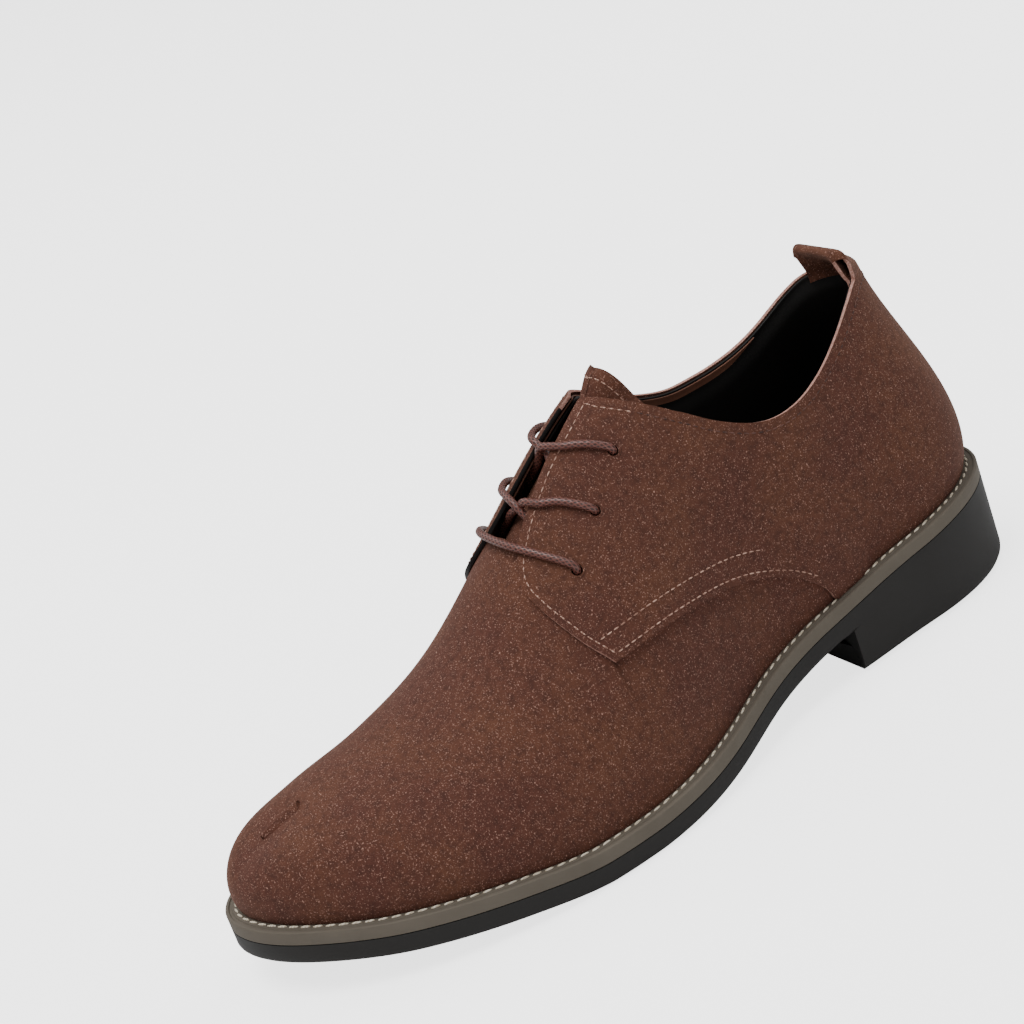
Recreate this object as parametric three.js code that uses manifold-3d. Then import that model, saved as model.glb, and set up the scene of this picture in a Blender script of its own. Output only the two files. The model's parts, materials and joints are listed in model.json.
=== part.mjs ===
// A left plain-toe derby shoe with three pairs of eyelets, in millimetres.
// +Z is up, the toe points along -Y and the outer (lateral) side of the shoe faces +X.
// Places along the shoe are given as a reach: the distance forward from the back of the sole.
import * as THREE from 'three';
import { mergeVertices } from 'three/addons/utils/BufferGeometryUtils.js';
import Module from 'manifold-3d';

const wasm = await Module();
wasm.setup();

const sole = {
  length: 300,
  heelHalfWidth: 33.7, heelReach: 50,
  waistOuter: 35.2, waistOuterReach: 92.6,
  waistInner: 28.5, waistInnerReach: 115,
  ballOuter: 55.7, ballOuterReach: 193,
  ballInner: 49.5, ballInnerReach: 214,
  toeShift: 9, toeRoundOuter: 0.56, toeRoundInner: 0.62,
  thickness: 6.9,
};
const welt = { thickness: 4.6, shelf: 4.6, width: 14 };
const heel = { length: 84.4, topPiece: 6, breastDepth: 6, seatSlope: 0.2 };
const nail = { radius: 1, headRadius: 2.4, head: 0.6, point: 3, pointGap: 4 };
const insole = { board: 2.2, sock: 1.2, clearance: 0.5 };
const shank = { halfWidth: 7, from: 62, to: 168, thickness: 1.2 };
const thread = { width: 0.8, height: 0.6, inset: 2.2 };
const lace = { radius: 1.3, sides: 8 };
const aglet = { length: 10, laceClearance: 0.2, wall: 0.25 };
const eyelet = {
  laceClearance: 0.9, wall: 0.3, flange: 1.2, flangeThickness: 0.2, clearance: 0.42, sunk: 0.4,
};
const tab = {
  halfShare: 0.062, height: 14.5, thickness: 1.2, slit: 2.4, legShare: 0.4,
  lean: 0.22, footGap: 0.35, footSlope: 0.22, rootFrom: 0.77, rootTo: 0.87,
};
const tongue = { top: 0.395, front: 0.575, side: 0.62, sweep: 0.05, sweepLength: 0.15, liningTrim: 0.006 };
const fit = 0.3;                       // the gap that touching pieces keep

// Each leather layer lies between two distances out from the foot form.
const layer = {
  lining: [0, 0.8],
  stiffener: [1.3, 1.9],
  facingLining: [1.1, 1.6],
  upper: [2.4, 3.7],
  tongue: [-2.6, -1.3],
  tongueLining: [-3.7, -2.9],
};
// How far the quarter stands out where it lies over the vamp.
const overlapLift = layer.upper[1] - layer.upper[0] + 0.4;
const lastInset = welt.shelf + layer.upper[1];
const half = sole.length / 2;
const centreX = (sole.ballOuter - sole.ballInner) / 2;

// The curves keyed by reach are drawn for a sole of this length, and graded to the real one.
const patternLength = 300;
const graded = (reach) => reach * sole.length / patternLength;
const drawn = (reach) => reach * patternLength / sole.length;

// ---------- curves ----------

// A smooth curve through [place, value] keys, flat at both ends.
function keyed(keys, place) {
  const last = keys.length - 1;
  if (place <= keys[0][0]) return keys[0][1];
  if (place >= keys[last][0]) return keys[last][1];
  let i = 0;
  while (place > keys[i + 1][0]) i += 1;
  const span = keys[i + 1][0] - keys[i][0];
  const t = (place - keys[i][0]) / span;
  const start = keySlope(keys, i) * span;
  const end = keySlope(keys, i + 1) * span;
  const rise = t * t * (3 - 2 * t);
  return keys[i][1] * (1 - rise) + keys[i + 1][1] * rise
    + start * t * (1 - t) * (1 - t) - end * t * t * (1 - t);
}

function keySlope(keys, i) {
  if (i === 0 || i === keys.length - 1) return 0;
  const before = keys[i][0] - keys[i - 1][0];
  const after = keys[i + 1][0] - keys[i][0];
  const slopeBefore = (keys[i][1] - keys[i - 1][1]) / before;
  const slopeAfter = (keys[i + 1][1] - keys[i][1]) / after;
  return (slopeBefore * after + slopeAfter * before) / (before + after);
}

// One side of the sole's outline, from the back of the heel to the tip of the toe.
function outlineSide(waist, waistReach, ball, ballReach, tip, toeRoundness) {
  const path = new THREE.CurvePath();
  const point = (x, reach) => new THREE.Vector2(x, half - reach);
  const stretch = (...points) => path.add(new THREE.CubicBezierCurve(...points));
  const { length, heelHalfWidth, heelReach } = sole;
  const soft = 0.42;
  stretch(point(0, 0), point(heelHalfWidth * 0.6, 0),
    point(heelHalfWidth, heelReach * soft), point(heelHalfWidth, heelReach));
  stretch(point(heelHalfWidth, heelReach),
    point(heelHalfWidth, heelReach + soft * (waistReach - heelReach)),
    point(waist, waistReach - soft * (waistReach - heelReach)), point(waist, waistReach));
  stretch(point(waist, waistReach), point(waist, waistReach + soft * (ballReach - waistReach)),
    point(ball, ballReach - 0.5 * (ballReach - waistReach)), point(ball, ballReach));
  stretch(point(ball, ballReach), point(ball, ballReach + 0.5 * (length - ballReach)),
    point(tip + toeRoundness * (ball - tip), length), point(tip, length));
  return path;
}

const outline = {
  outer: outlineSide(sole.waistOuter, sole.waistOuterReach, sole.ballOuter, sole.ballOuterReach,
    -sole.toeShift, sole.toeRoundOuter),
  inner: outlineSide(sole.waistInner, sole.waistInnerReach, sole.ballInner, sole.ballInnerReach,
    sole.toeShift, sole.toeRoundInner),
};

// A place round the shoe is s: 0 at the back, up to 1 at the toe along the outer side, and 0 down to -1
// (or 2 down to 1) along the inner side. u is the share of the way on either side.
function sideOf(s) {
  const turn = ((s % 2) + 2) % 2;
  return turn <= 1 ? { side: 1, u: turn } : { side: -1, u: 2 - turn };
}

function soleEdge(s, inset) {
  const { side, u } = sideOf(s);
  const path = side > 0 ? outline.outer : outline.inner;
  const point = path.getPoint(u);
  const along = path.getTangent(u);
  return {
    x: side * (point.x + along.y * inset),
    y: point.y - along.x * inset,
    outX: -side * along.y,
    outY: along.x,
  };
}

function shareAt(reach) {
  let low = 0;
  let high = 1;
  for (let i = 0; i < 40; i += 1) {
    const middle = (low + high) / 2;
    if (half - outline.outer.getPoint(middle).y < reach) low = middle;
    else high = middle;
  }
  return (low + high) / 2;
}

// Height of the outsole's underside above the ground: heel seat, arch, ball and toe spring.
const underside = [[-1, 23.3], [0, 23.3], [50, 19.8], [84, 15.5], [112, 10.5], [150, 2.9], [182, 0.1],
  [205, 0], [232, 3.2], [265, 7.2], [300, 11.9], [301, 11.9]];
const groundGap = (reach) => Math.max(0, keyed(underside, drawn(reach)));
const soleTop = (reach) => groundGap(reach) + sole.thickness;
const weltTop = (reach) => soleTop(reach) + fit + welt.thickness;
const footBed = (reach) => weltTop(reach) + fit;

// ---------- the foot form that every upper layer is measured from ----------

// Each station says where the wall starts and the crown line it rises to.
const stations = [
  { reach: 0, crown: [0, 23.5, 118], rise: 27, bulge: [9.4, 9.4], spread: 2, drop: 26 },
  { reach: 14, crown: [9, 31.4, 118], rise: 25.5, bulge: [10.4, 10.4], spread: 2, drop: 26 },
  { reach: 46, crown: [13, 47.6, 120], rise: 27, bulge: [6.7, 6.7], spread: 4, drop: 26 },
  { reach: 84, crown: [13, 84, 126], rise: 28, bulge: [6, 6], spread: 8, drop: 20 },
  { reach: 120, crown: [0, 118, 122.5], rise: 30, bulge: [4, 5], spread: 19, drop: 0 },
  { reach: 150, crown: [0, 146, 108.4], rise: 32, bulge: [3, 5], spread: 22, drop: 0 },
  { reach: 175, crown: [0, 171, 89.4], rise: 30, bulge: [3, 5], spread: 24, drop: 0 },
  { reach: 205, crown: [0, 200, 65.1], rise: 25, bulge: [3.5, 4], spread: 27, drop: 0 },
  { reach: 240, crown: [0, 229, 51.8], rise: 18.4, bulge: [4, 4], spread: 26, drop: 0 },
  { reach: 272, crown: [0, 251, 47.2], rise: 18.5, bulge: [4, 4], spread: 22, drop: 0 },
  { reach: 290, crown: [0, 262.5, 45.3], rise: 18.9, bulge: [4.5, 4.5], spread: 18, drop: 0 },
  { reach: 300, crown: [0, 266.3, 44.4], rise: 14.8, bulge: [5, 5], spread: 16, drop: 0 },
];
const stationShare = stations.map(({ reach }) => (reach < patternLength ? shareAt(graded(reach)) : 1));

// The keys start with the mirror image of the second station, which rounds the back of the heel.
function stationKeys(value, mirror = 1) {
  const keys = stations.map((station, i) => [stationShare[i], value(station)]);
  return [[-keys[1][0], mirror * keys[1][1]], ...keys];
}

const form = {
  crownX: stationKeys((station) => station.crown[0], -1),
  crownReach: stationKeys((station) => graded(station.crown[1])),
  crownZ: stationKeys((station) => station.crown[2]),
  rise: stationKeys((station) => station.rise),
  bulgeOuter: stationKeys((station) => station.bulge[0]),
  bulgeInner: stationKeys((station) => station.bulge[1]),
  spread: stationKeys((station) => station.spread),
  drop: stationKeys((station) => station.drop),
};
const ridgeStart = stationShare[4] - 0.02;   // forward of this the two sides meet on one ridge
const ridgeBend = { share: 0.8, from: 180 };
const nearCrown = 0.999;
const squareBelow = 0.12;                    // the layers stand square on the welt up to this h

function crownPoint(side, u) {
  const reach = keyed(form.crownReach, u);
  const bend = -ridgeBend.share * sole.toeShift
    * THREE.MathUtils.smoothstep(drawn(reach), ridgeBend.from, patternLength);
  return new THREE.Vector3(side * keyed(form.crownX, u) + bend, half - reach, keyed(form.crownZ, u));
}

// A point of the form: h is 0 at the edge of the foot bed and 1 on the crown line.
function formPoint(s, h) {
  const { side, u } = sideOf(s);
  const edge = soleEdge(s, lastInset);
  const foot = new THREE.Vector3(edge.x, edge.y, footBed(half - edge.y));
  const crown = crownPoint(side, u);
  const bulge = keyed(side > 0 ? form.bulgeOuter : form.bulgeInner, u);
  const rise = keyed(form.rise, u);
  const lower = foot.clone().add(new THREE.Vector3(edge.outX * bulge, edge.outY * bulge, rise));
  const away = new THREE.Vector2(foot.x - crown.x, foot.y - crown.y).normalize();
  const spread = keyed(form.spread, u);
  const upper = crown.clone().add(new THREE.Vector3(away.x * spread, away.y * spread,
    away.y * spread * crownSlope(side, u) - keyed(form.drop, u)));
  const k = 1 - h;
  return foot.multiplyScalar(k * k * k).addScaledVector(lower, 3 * k * k * h)
    .addScaledVector(upper, 3 * k * h * h).addScaledVector(crown, h * h * h);
}

function crownSlope(side, u) {
  if (u < ridgeStart) return 0;
  const step = 0.01;
  const before = crownPoint(side, Math.max(0, u - step));
  const after = crownPoint(side, Math.min(1, u + step));
  return (after.z - before.z) / (after.y - before.y);
}

function formNormal(s, h) {
  const { side, u } = sideOf(s);
  if (h > nearCrown && u > ridgeStart) {
    const step = 0.004;
    const before = crownPoint(side, Math.max(0, u - step));
    const after = crownPoint(side, Math.min(1, u + step));
    return new THREE.Vector3(0, after.z - before.z, before.y - after.y).normalize();
  }
  const step = 0.003;
  const round = formPoint(s + step, h).sub(formPoint(s - step, h));
  const above = formPoint(s, Math.min(nearCrown, h + step));
  const climb = above.sub(formPoint(s, Math.max(0, h - step)));
  const normal = climb.cross(round).normalize();
  normal.z *= THREE.MathUtils.smoothstep(h, 0, squareBelow);
  return normal.normalize();
}

// A place at a distance out from the form. Near the welt it keeps to the welt's own rise and fall.
function onForm(s, h, out) {
  const point = formPoint(s, h);
  const place = point.clone().addScaledVector(formNormal(s, h), out);
  const nearWelt = 1 - THREE.MathUtils.smoothstep(h, 0, squareBelow);
  place.z += nearWelt * (footBed(half - place.y) - footBed(half - point.y));
  return place;
}

// The h at which a test of the form's point turns true, looking up from the foot bed.
function heightWhere(s, test) {
  let low = 0;
  let high = 1;
  for (let i = 0; i < 24; i += 1) {
    const middle = (low + high) / 2;
    if (test(formPoint(s, middle))) high = middle;
    else low = middle;
  }
  return (low + high) / 2;
}

// ---------- seam lines, as h along each side ----------

const toplineOuter = [[20, 112], [33, 111], [38, 108], [48, 101.5], [62, 94.5], [74, 91.8], [85, 92.8],
  [101, 100.5], [114, 110], [125, 117], [136, 121], [150, 122]];
const innerRise = { height: 3.2, from: 48, peak: 82, to: 118 };   // the collar is higher on the inner side
const toplineInner = toplineOuter.map(([reach, z]) => [reach,
  z + innerRise.height * bump(reach, innerRise.from, innerRise.peak, innerRise.to)]);
const facingGap = [[128, 4], [140, 4.6], [150, 5.4], [164, 8], [177, 10.8]];
const facingTopRound = 0.05;

function bump(place, from, peak, to) {
  return THREE.MathUtils.smoothstep(place, from, peak) * (1 - THREE.MathUtils.smoothstep(place, peak, to));
}

function toplineH(s) {
  const keys = sideOf(s).side > 0 ? toplineOuter : toplineInner;
  return heightWhere(s, (point) => point.z > keyed(keys, drawn(half - point.y)));
}

function facingEdgeH(s) {
  const { side, u } = sideOf(s);
  const crown = crownPoint(side, u);
  const gap = keyed(facingGap, drawn(half - crown.y));
  return heightWhere(s, (point) => Math.abs(point.x - crown.x) < gap);
}

function smoothMin(a, b, round) {
  const blend = Math.max(round - Math.abs(a - b), 0) / round;
  return Math.min(a, b) - blend * blend * round * 0.25;
}

function quarterTopH(s) {
  const { u } = sideOf(s);
  if (u < facingBack) return toplineH(s);
  return smoothMin(toplineH(s), facingEdgeH(s), facingTopRound);
}

// The curved lower edge of the quarter, from the welt in front of the heel to the pointed corner.
const swoosh = [[0.294, 0], [0.297, 0.04], [0.308, 0.105], [0.336, 0.191], [0.378, 0.257], [0.459, 0.338],
  [0.525, 0.393], [0.553, 0.418]];
// Its front edge, from the pointed corner up to the rounded corner of the facing.
const quarterFront = [[0.553, 0.418], [0.567, 0.52], [0.575, 0.621], [0.579, 0.71], [0.578, 0.795],
  [0.566, 0.866]];
const liftFade = { near: 11, far: 22 };              // how far from the overlap's edge the lift dies away
const facingLift = { from: 0.3, full: 0.375 };       // and where it is full right up to the facing

function curveThrough(points) {
  const places = points.map(([u, h]) => new THREE.Vector3(u, h, 0));
  return new THREE.CatmullRomCurve3(places, false, 'centripetal');
}

const swooshCurve = curveThrough(swoosh);
const frontCurve = curveThrough(quarterFront);
const swooshStart = swoosh[0][0];

// How far a place on the quarter is from the part of its edge that lies over the vamp.
const overlapEdge = { outer: overlapPoints(1), inner: overlapPoints(-1) };

function overlapPoints(side) {
  const points = [];
  for (const curve of [swooshCurve, frontCurve]) {
    for (const { x, y } of curve.getPoints(24)) points.push(formPoint(side * x, Math.max(0, y)));
  }
  return points;
}

function liftAt(s, h) {
  const { side, u } = sideOf(s);
  const point = formPoint(s, h);
  let nearest = Infinity;
  for (const edge of side > 0 ? overlapEdge.outer : overlapEdge.inner) {
    nearest = Math.min(nearest, edge.distanceTo(point));
  }
  const overVamp = 1 - THREE.MathUtils.smoothstep(nearest, liftFade.near, liftFade.far);
  const overFacing = THREE.MathUtils.smoothstep(u, facingLift.from, facingLift.full);
  return overlapLift * Math.max(overVamp, overFacing);
}

// ---------- mesh makers ----------

function geometryFrom(points, triangles) {
  const geometry = new THREE.BufferGeometry();
  const values = points.flatMap(({ x, y, z }) => [x, y, z]);
  geometry.setAttribute('position', new THREE.Float32BufferAttribute(values, 3));
  geometry.setIndex(triangles.flat());
  return mergeVertices(geometry, 1e-4);
}

// A sheet with thickness. rows[i][j] is a place { s, h, lift }; the sheet lies between two distances from
// the form, and its rim is closed all round. Places that fall together on the ridge become one.
function sheet(rows, [inner, outer]) {
  const index = new Map();
  const low = [];
  const high = [];
  const numberOf = ({ s, h, lift = 0 }) => {
    const point = formPoint(s, h);
    const key = [point.x, point.y, point.z].map((value) => Math.round(value * 1000)).join();
    if (!index.has(key)) {
      index.set(key, low.length);
      low.push(onForm(s, h, inner + lift));
      high.push(onForm(s, h, outer + lift));
    }
    return index.get(key);
  };
  const grid = rows.map((row) => row.map(numberOf));
  const faces = [];
  const addFace = (a, b, c) => {
    if (a !== b && b !== c && c !== a) faces.push([a, b, c]);
  };
  for (let i = 0; i + 1 < grid.length; i += 1) {
    for (let j = 0; j + 1 < grid[i].length; j += 1) {
      addFace(grid[i][j], grid[i + 1][j + 1], grid[i + 1][j]);
      addFace(grid[i][j], grid[i][j + 1], grid[i + 1][j + 1]);
    }
  }
  return closeSheet(low, high, faces);
}

function closeSheet(low, high, faces) {
  const count = low.length;
  const edges = new Set();
  for (const [a, b, c] of faces) {
    for (const edge of [[a, b], [b, c], [c, a]]) edges.add(edge.join());
  }
  const triangles = [];
  for (const [a, b, c] of faces) {
    triangles.push([a + count, b + count, c + count], [a, c, b]);
    for (const [from, to] of [[a, b], [b, c], [c, a]]) {
      if (edges.has(`${to},${from}`)) continue;
      triangles.push([to + count, from + count, from], [to + count, from, to]);
    }
  }
  return geometryFrom([...low, ...high], triangles);
}

// The point of the inset outline that lies at a given reach.
function soleEdgeAt(side, reach, inset) {
  let low = 0;
  let high = 1;
  for (let i = 0; i < 40; i += 1) {
    const middle = (low + high) / 2;
    if (half - soleEdge(side * middle, inset).y < reach) low = middle;
    else high = middle;
  }
  return soleEdge(side * (low + high) / 2, inset);
}

// A flat piece of the bottom, cut to the sole's outline and laid on the sole's curve.
function slab({
  from = 0, to = sole.length, inset = 0, bottom, top, breast = 0, halfWidth = Infinity, columns = 24,
}) {
  const across = breast ? 6 : 2;
  const start = Math.max(from, inset);
  const end = Math.min(to, sole.length - inset);
  const low = [];
  const high = [];
  for (let i = 0; i <= columns; i += 1) {
    const share = bunched(i / columns, start === inset, end === sole.length - inset);
    const reach = start + (end - start) * share;
    const outer = soleEdgeAt(1, reach, inset).x;
    const inner = soleEdgeAt(-1, reach, inset).x;
    for (let j = 0; j <= across; j += 1) {
      const way = j / across;
      const x = THREE.MathUtils.clamp(inner + (outer - inner) * way, -halfWidth, halfWidth);
      const hollow = breast * (i / columns) ** 3 * (1 - (2 * way - 1) ** 2);
      low.push(new THREE.Vector3(x, half - reach + hollow, bottom(reach - hollow)));
      high.push(new THREE.Vector3(x, half - reach + hollow, top(reach - hollow)));
    }
  }
  const faces = [];
  const at = (i, j) => i * (across + 1) + j;
  for (let i = 0; i < columns; i += 1) {
    for (let j = 0; j < across; j += 1) {
      faces.push([at(i, j), at(i + 1, j), at(i + 1, j + 1)], [at(i, j), at(i + 1, j + 1), at(i, j + 1)]);
    }
  }
  return weldSlab(low, high, faces);
}

// At the tips of the outline a row of points falls together, so the slab is welded before it is closed.
function weldSlab(low, high, faces) {
  const kept = [];
  const number = low.map((point, i) => {
    const found = kept.findIndex((k) => low[k].distanceTo(point) < 0.01);
    if (found >= 0) return found;
    kept.push(i);
    return kept.length - 1;
  });
  const welded = faces.map((face) => face.map((corner) => number[corner]))
    .filter(([one, two, three]) => one !== two && two !== three && three !== one);
  return closeSheet(kept.map((k) => low[k]), kept.map((k) => high[k]), welded);
}

// Steps that crowd together at a rounded end.
function bunched(t, atStart, atEnd) {
  if (atStart && atEnd) return 0.5 - 0.5 * Math.cos(Math.PI * t);
  if (atStart) return t * t * (2 - t);
  if (atEnd) return 1 - (1 - t) * (1 - t) * (1 + t);
  return t;
}

// A ring that runs right round the sole, with a rectangular section.
function ring(outerInset, innerInset, bottom, top, count) {
  const points = [];
  const triangles = [];
  for (let i = 0; i < count; i += 1) {
    const turn = i / count;
    const s = 2 * (turn - 0.03 * Math.sin(4 * Math.PI * turn));     // crowded at the heel and the toe
    const section = [[outerInset, bottom], [innerInset, bottom], [innerInset, top], [outerInset, top]];
    for (const [inset, level] of section) {
      const { x, y } = soleEdge(s, inset);
      points.push(new THREE.Vector3(x, y, level(half - y)));
    }
    const here = i * 4;
    const next = ((i + 1) % count) * 4;
    for (let j = 0; j < 4; j += 1) {
      const k = (j + 1) % 4;
      triangles.push([here + j, next + j, next + k], [here + j, next + k, here + k]);
    }
  }
  return geometryFrom(points, triangles);
}

function toManifold(geometry, matrix) {
  const bare = geometry.clone();
  bare.deleteAttribute('normal');
  bare.deleteAttribute('uv');
  const merged = mergeVertices(bare, 1e-4);
  if (matrix) merged.applyMatrix4(matrix);
  return new wasm.Manifold(new wasm.Mesh({
    numProp: 3,
    vertProperties: new Float32Array(merged.attributes.position.array),
    triVerts: new Uint32Array(merged.index.array),
  }));
}

function fromManifold(solid) {
  const { vertProperties, triVerts } = solid.getMesh();
  const geometry = new THREE.BufferGeometry();
  geometry.setAttribute('position', new THREE.BufferAttribute(new Float32Array(vertProperties), 3));
  geometry.setIndex(new THREE.BufferAttribute(new Uint32Array(triVerts), 1));
  return geometry;
}

function drilled(geometry, drills) {
  let solid = toManifold(geometry);
  for (const { radius, length, matrix } of drills) {
    solid = solid.subtract(toManifold(new THREE.CylinderGeometry(radius, radius, length, 12), matrix));
  }
  return fromManifold(solid);
}

function lathe(profile, segments) {
  return new THREE.LatheGeometry(profile.map(([x, y]) => new THREE.Vector2(x, y)), segments);
}

// ---------- the pieces ----------

const shoe = new THREE.Group();
shoe.position.x = -centreX;

function addPiece(name, geometry, { colour, roughness, metalness = 0 }) {
  geometry.computeVertexNormals();
  const material = new THREE.MeshStandardMaterial({ color: colour, roughness, metalness });
  const mesh = new THREE.Mesh(geometry, material);
  mesh.name = name;
  shoe.add(mesh);
  return mesh;
}

const finish = {
  upper: { colour: 0x56352d, roughness: 0.85 },
  lining: { colour: 0x14120f, roughness: 0.8 },
  facing: { colour: 0x6b4436, roughness: 0.7 },
  rubber: { colour: 0x1f1c19, roughness: 0.6 },
  welt: { colour: 0x5f574c, roughness: 0.6 },
  thread: { colour: 0xd9cbb4, roughness: 0.8 },
  board: { colour: 0x8a6f50, roughness: 0.9 },
  cork: { colour: 0x9a7248, roughness: 0.95 },
  steel: { colour: 0x8f9296, roughness: 0.35, metalness: 1 },
  brass: { colour: 0x8a6a3a, roughness: 0.4, metalness: 1 },
  stiffener: { colour: 0xb9ab90, roughness: 0.9 },
  lace: { colour: 0x5a342c, roughness: 0.5 },
  aglet: { colour: 0x2a1a16, roughness: 0.3 },
};

// ----- bottom: outsole, heel, welt, insole and what lies between them -----

const nailSpots = [[0, 20], [-10, 31], [10, 31], [-14, 56], [14, 56]]
  .map(([x, reach]) => ({ x, y: half - reach }));
const nailFoot = heel.topPiece + nail.pointGap;

function nailDrills() {
  const upright = new THREE.Matrix4().makeRotationX(Math.PI / 2);
  return nailSpots.map(({ x, y }) => {
    const length = 2 * soleTop(half - y);
    const matrix = new THREE.Matrix4().makeTranslation(x, y, length / 2).multiply(upright);
    return { radius: nail.radius + fit, length, matrix };
  });
}

function addBottom() {
  const outsole = slab({ bottom: groundGap, top: soleTop });
  addPiece('outsole', drilled(outsole, nailDrills()), finish.rubber);
  const heelFrame = { to: heel.length, breast: heel.breastDepth, columns: 14 };
  const blockFoot = () => heel.topPiece + fit;
  const block = slab({ ...heelFrame, bottom: blockFoot, top: (reach) => groundGap(reach) - fit });
  addPiece('heel_block', drilled(block, nailDrills()), finish.rubber);
  const topPiece = slab({ ...heelFrame, bottom: () => 0, top: () => heel.topPiece });
  addPiece('heel_top_piece', topPiece, finish.rubber);
  const weltFoot = (reach) => soleTop(reach) + fit;
  addPiece('welt', ring(0, welt.width, weltFoot, weltTop, 60), finish.welt);
  const threadFoot = (reach) => weltTop(reach) + fit;
  const threadTop = (reach) => threadFoot(reach) + thread.height;
  const threadEdge = thread.inset - thread.width / 2;
  const threadRing = ring(threadEdge, threadEdge + thread.width, threadFoot, threadTop, 60);
  addPiece('welt_stitching', threadRing, finish.thread);
  addPiece('shank', slab({
    from: shank.from,
    to: shank.to,
    inset: welt.width,
    halfWidth: shank.halfWidth,
    columns: 12,
    bottom: (reach) => soleTop(reach) + fit,
    top: (reach) => soleTop(reach) + fit + shank.thickness,
  }), finish.steel);
  addPiece('sole_filler', slab({
    inset: welt.width + 2 * fit,
    bottom: (reach) => soleTop(reach) + 2 * fit + shank.thickness,
    top: weltTop,
  }), finish.cork);
  const boardTop = (reach) => footBed(reach) + insole.board;
  const boardInset = lastInset + insole.clearance;
  addPiece('insole_board', slab({ inset: boardInset, bottom: footBed, top: boardTop }), finish.board);
  addPiece('sock_lining', slab({
    inset: boardInset,
    bottom: (reach) => boardTop(reach) + fit,
    top: (reach) => boardTop(reach) + fit + insole.sock,
  }), finish.lining);
}

// The nails go down through the outsole into the heel block, with their heads on the outsole.
function addNails() {
  nailSpots.forEach(({ x, y }, i) => {
    const neck = soleTop(half - y) + nail.headRadius * heel.seatSlope + fit;
    const profile = [[0, nailFoot], [nail.radius, nailFoot + nail.point], [nail.radius, neck],
      [nail.headRadius, neck], [nail.headRadius, neck + nail.head], [0, neck + nail.head]];
    const piece = addPiece(`heel_nail_${i + 1}`, lathe(profile, 8), finish.steel);
    piece.geometry.rotateX(Math.PI / 2);
    piece.position.set(x, y, 0);
  });
}

// ----- upper -----

function rowsOf(columns, count, bottomOf, topOf, liftOf = () => 0) {
  return columns.map((s) => {
    const from = bottomOf(s);
    const to = topOf(s);
    return Array.from({ length: count + 1 }, (_, j) => {
      const h = from + (to - from) * closerAtTop(j / count);
      return { s, h, lift: liftOf(s, h) };
    });
  });
}

// The form is rounder towards its crown, so the rows there lie closer together.
const closerAtTop = (t) => t * (1.4 - 0.4 * t);

// Columns on both sides of the toe, from share a on the outer side to share a on the inner side.
function toeColumns(shares) {
  return [...shares, 1, ...shares.map((u) => 2 - u).reverse()];
}

function heelColumns(shares) {
  return [...shares.map((u) => -u).reverse(), 0, ...shares];
}

function spaced(from, to, count) {
  return Array.from({ length: count + 1 }, (_, i) => from + (to - from) * (i / count));
}

const vampBack = swooshStart - 0.022;        // the wings of the vamp run back under the quarters
const throat = [0.548, 0.56];                // where the vamp's back edge climbs to the ridge
const wingUnder = 0.05;
const liningJoint = 0.5;                     // where the quarter lining gives way to the vamp lining
const facingLow = 0.5;                       // lower edge of the facing lining
const facingBack = 0.38;
const facingFront = 0.526;
const facingMargin = 0.035;                  // how far the facing lining ends below the quarter's edge
const facingTop = 0.94;
const patchTop = 0.97;                       // the quarter's edge stays this side of the ridge
const liningMargin = 0.012;
const sheetGap = 0.004;                      // a butt joint between two linings, as a share of the outline

function swooshH(u) {
  let low = 0;
  let high = 1;
  for (let i = 0; i < 24; i += 1) {
    const middle = (low + high) / 2;
    if (swooshCurve.getPoint(middle).x < u) low = middle;
    else high = middle;
  }
  return swooshCurve.getPoint((low + high) / 2).y;
}

function vampTopH(s) {
  const { u } = sideOf(s);
  if (u >= throat[1]) return 1;
  const wing = swooshH(Math.min(u, throat[0])) + wingUnder;
  return wing + (1 - wing) * THREE.MathUtils.smoothstep(u, throat[0], throat[1]);
}

const vampShares = [...spaced(vampBack, 0.525, 7), ...spaced(throat[0], throat[1], 3),
  ...spaced(0.6, 0.95, 7), 0.985];

function addVamp() {
  const columns = toeColumns(vampShares);
  addPiece('vamp', sheet(rowsOf(columns, 11, () => 0, vampTopH), layer.upper), finish.upper);
  const liningShares = [...spaced(liningJoint + sheetGap, 0.535, 2), ...spaced(throat[0], throat[1], 3),
    ...spaced(0.6, 0.95, 7), 0.985];
  const liningTop = (s) => {
    const { u } = sideOf(s);
    return facingLow + (1 - facingLow) * THREE.MathUtils.smoothstep(u, throat[0], throat[1]);
  };
  const liningRows = rowsOf(toeColumns(liningShares), 11, () => 0, liningTop);
  addPiece('vamp_lining', sheet(liningRows, layer.lining), finish.lining);
  const puffShares = vampShares.filter((u) => u > 0.84);
  const puffRows = rowsOf(toeColumns(puffShares), 11, () => 0, () => 1);
  addPiece('toe_puff', sheet(puffRows, layer.stiffener), finish.stiffener);
}

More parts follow.
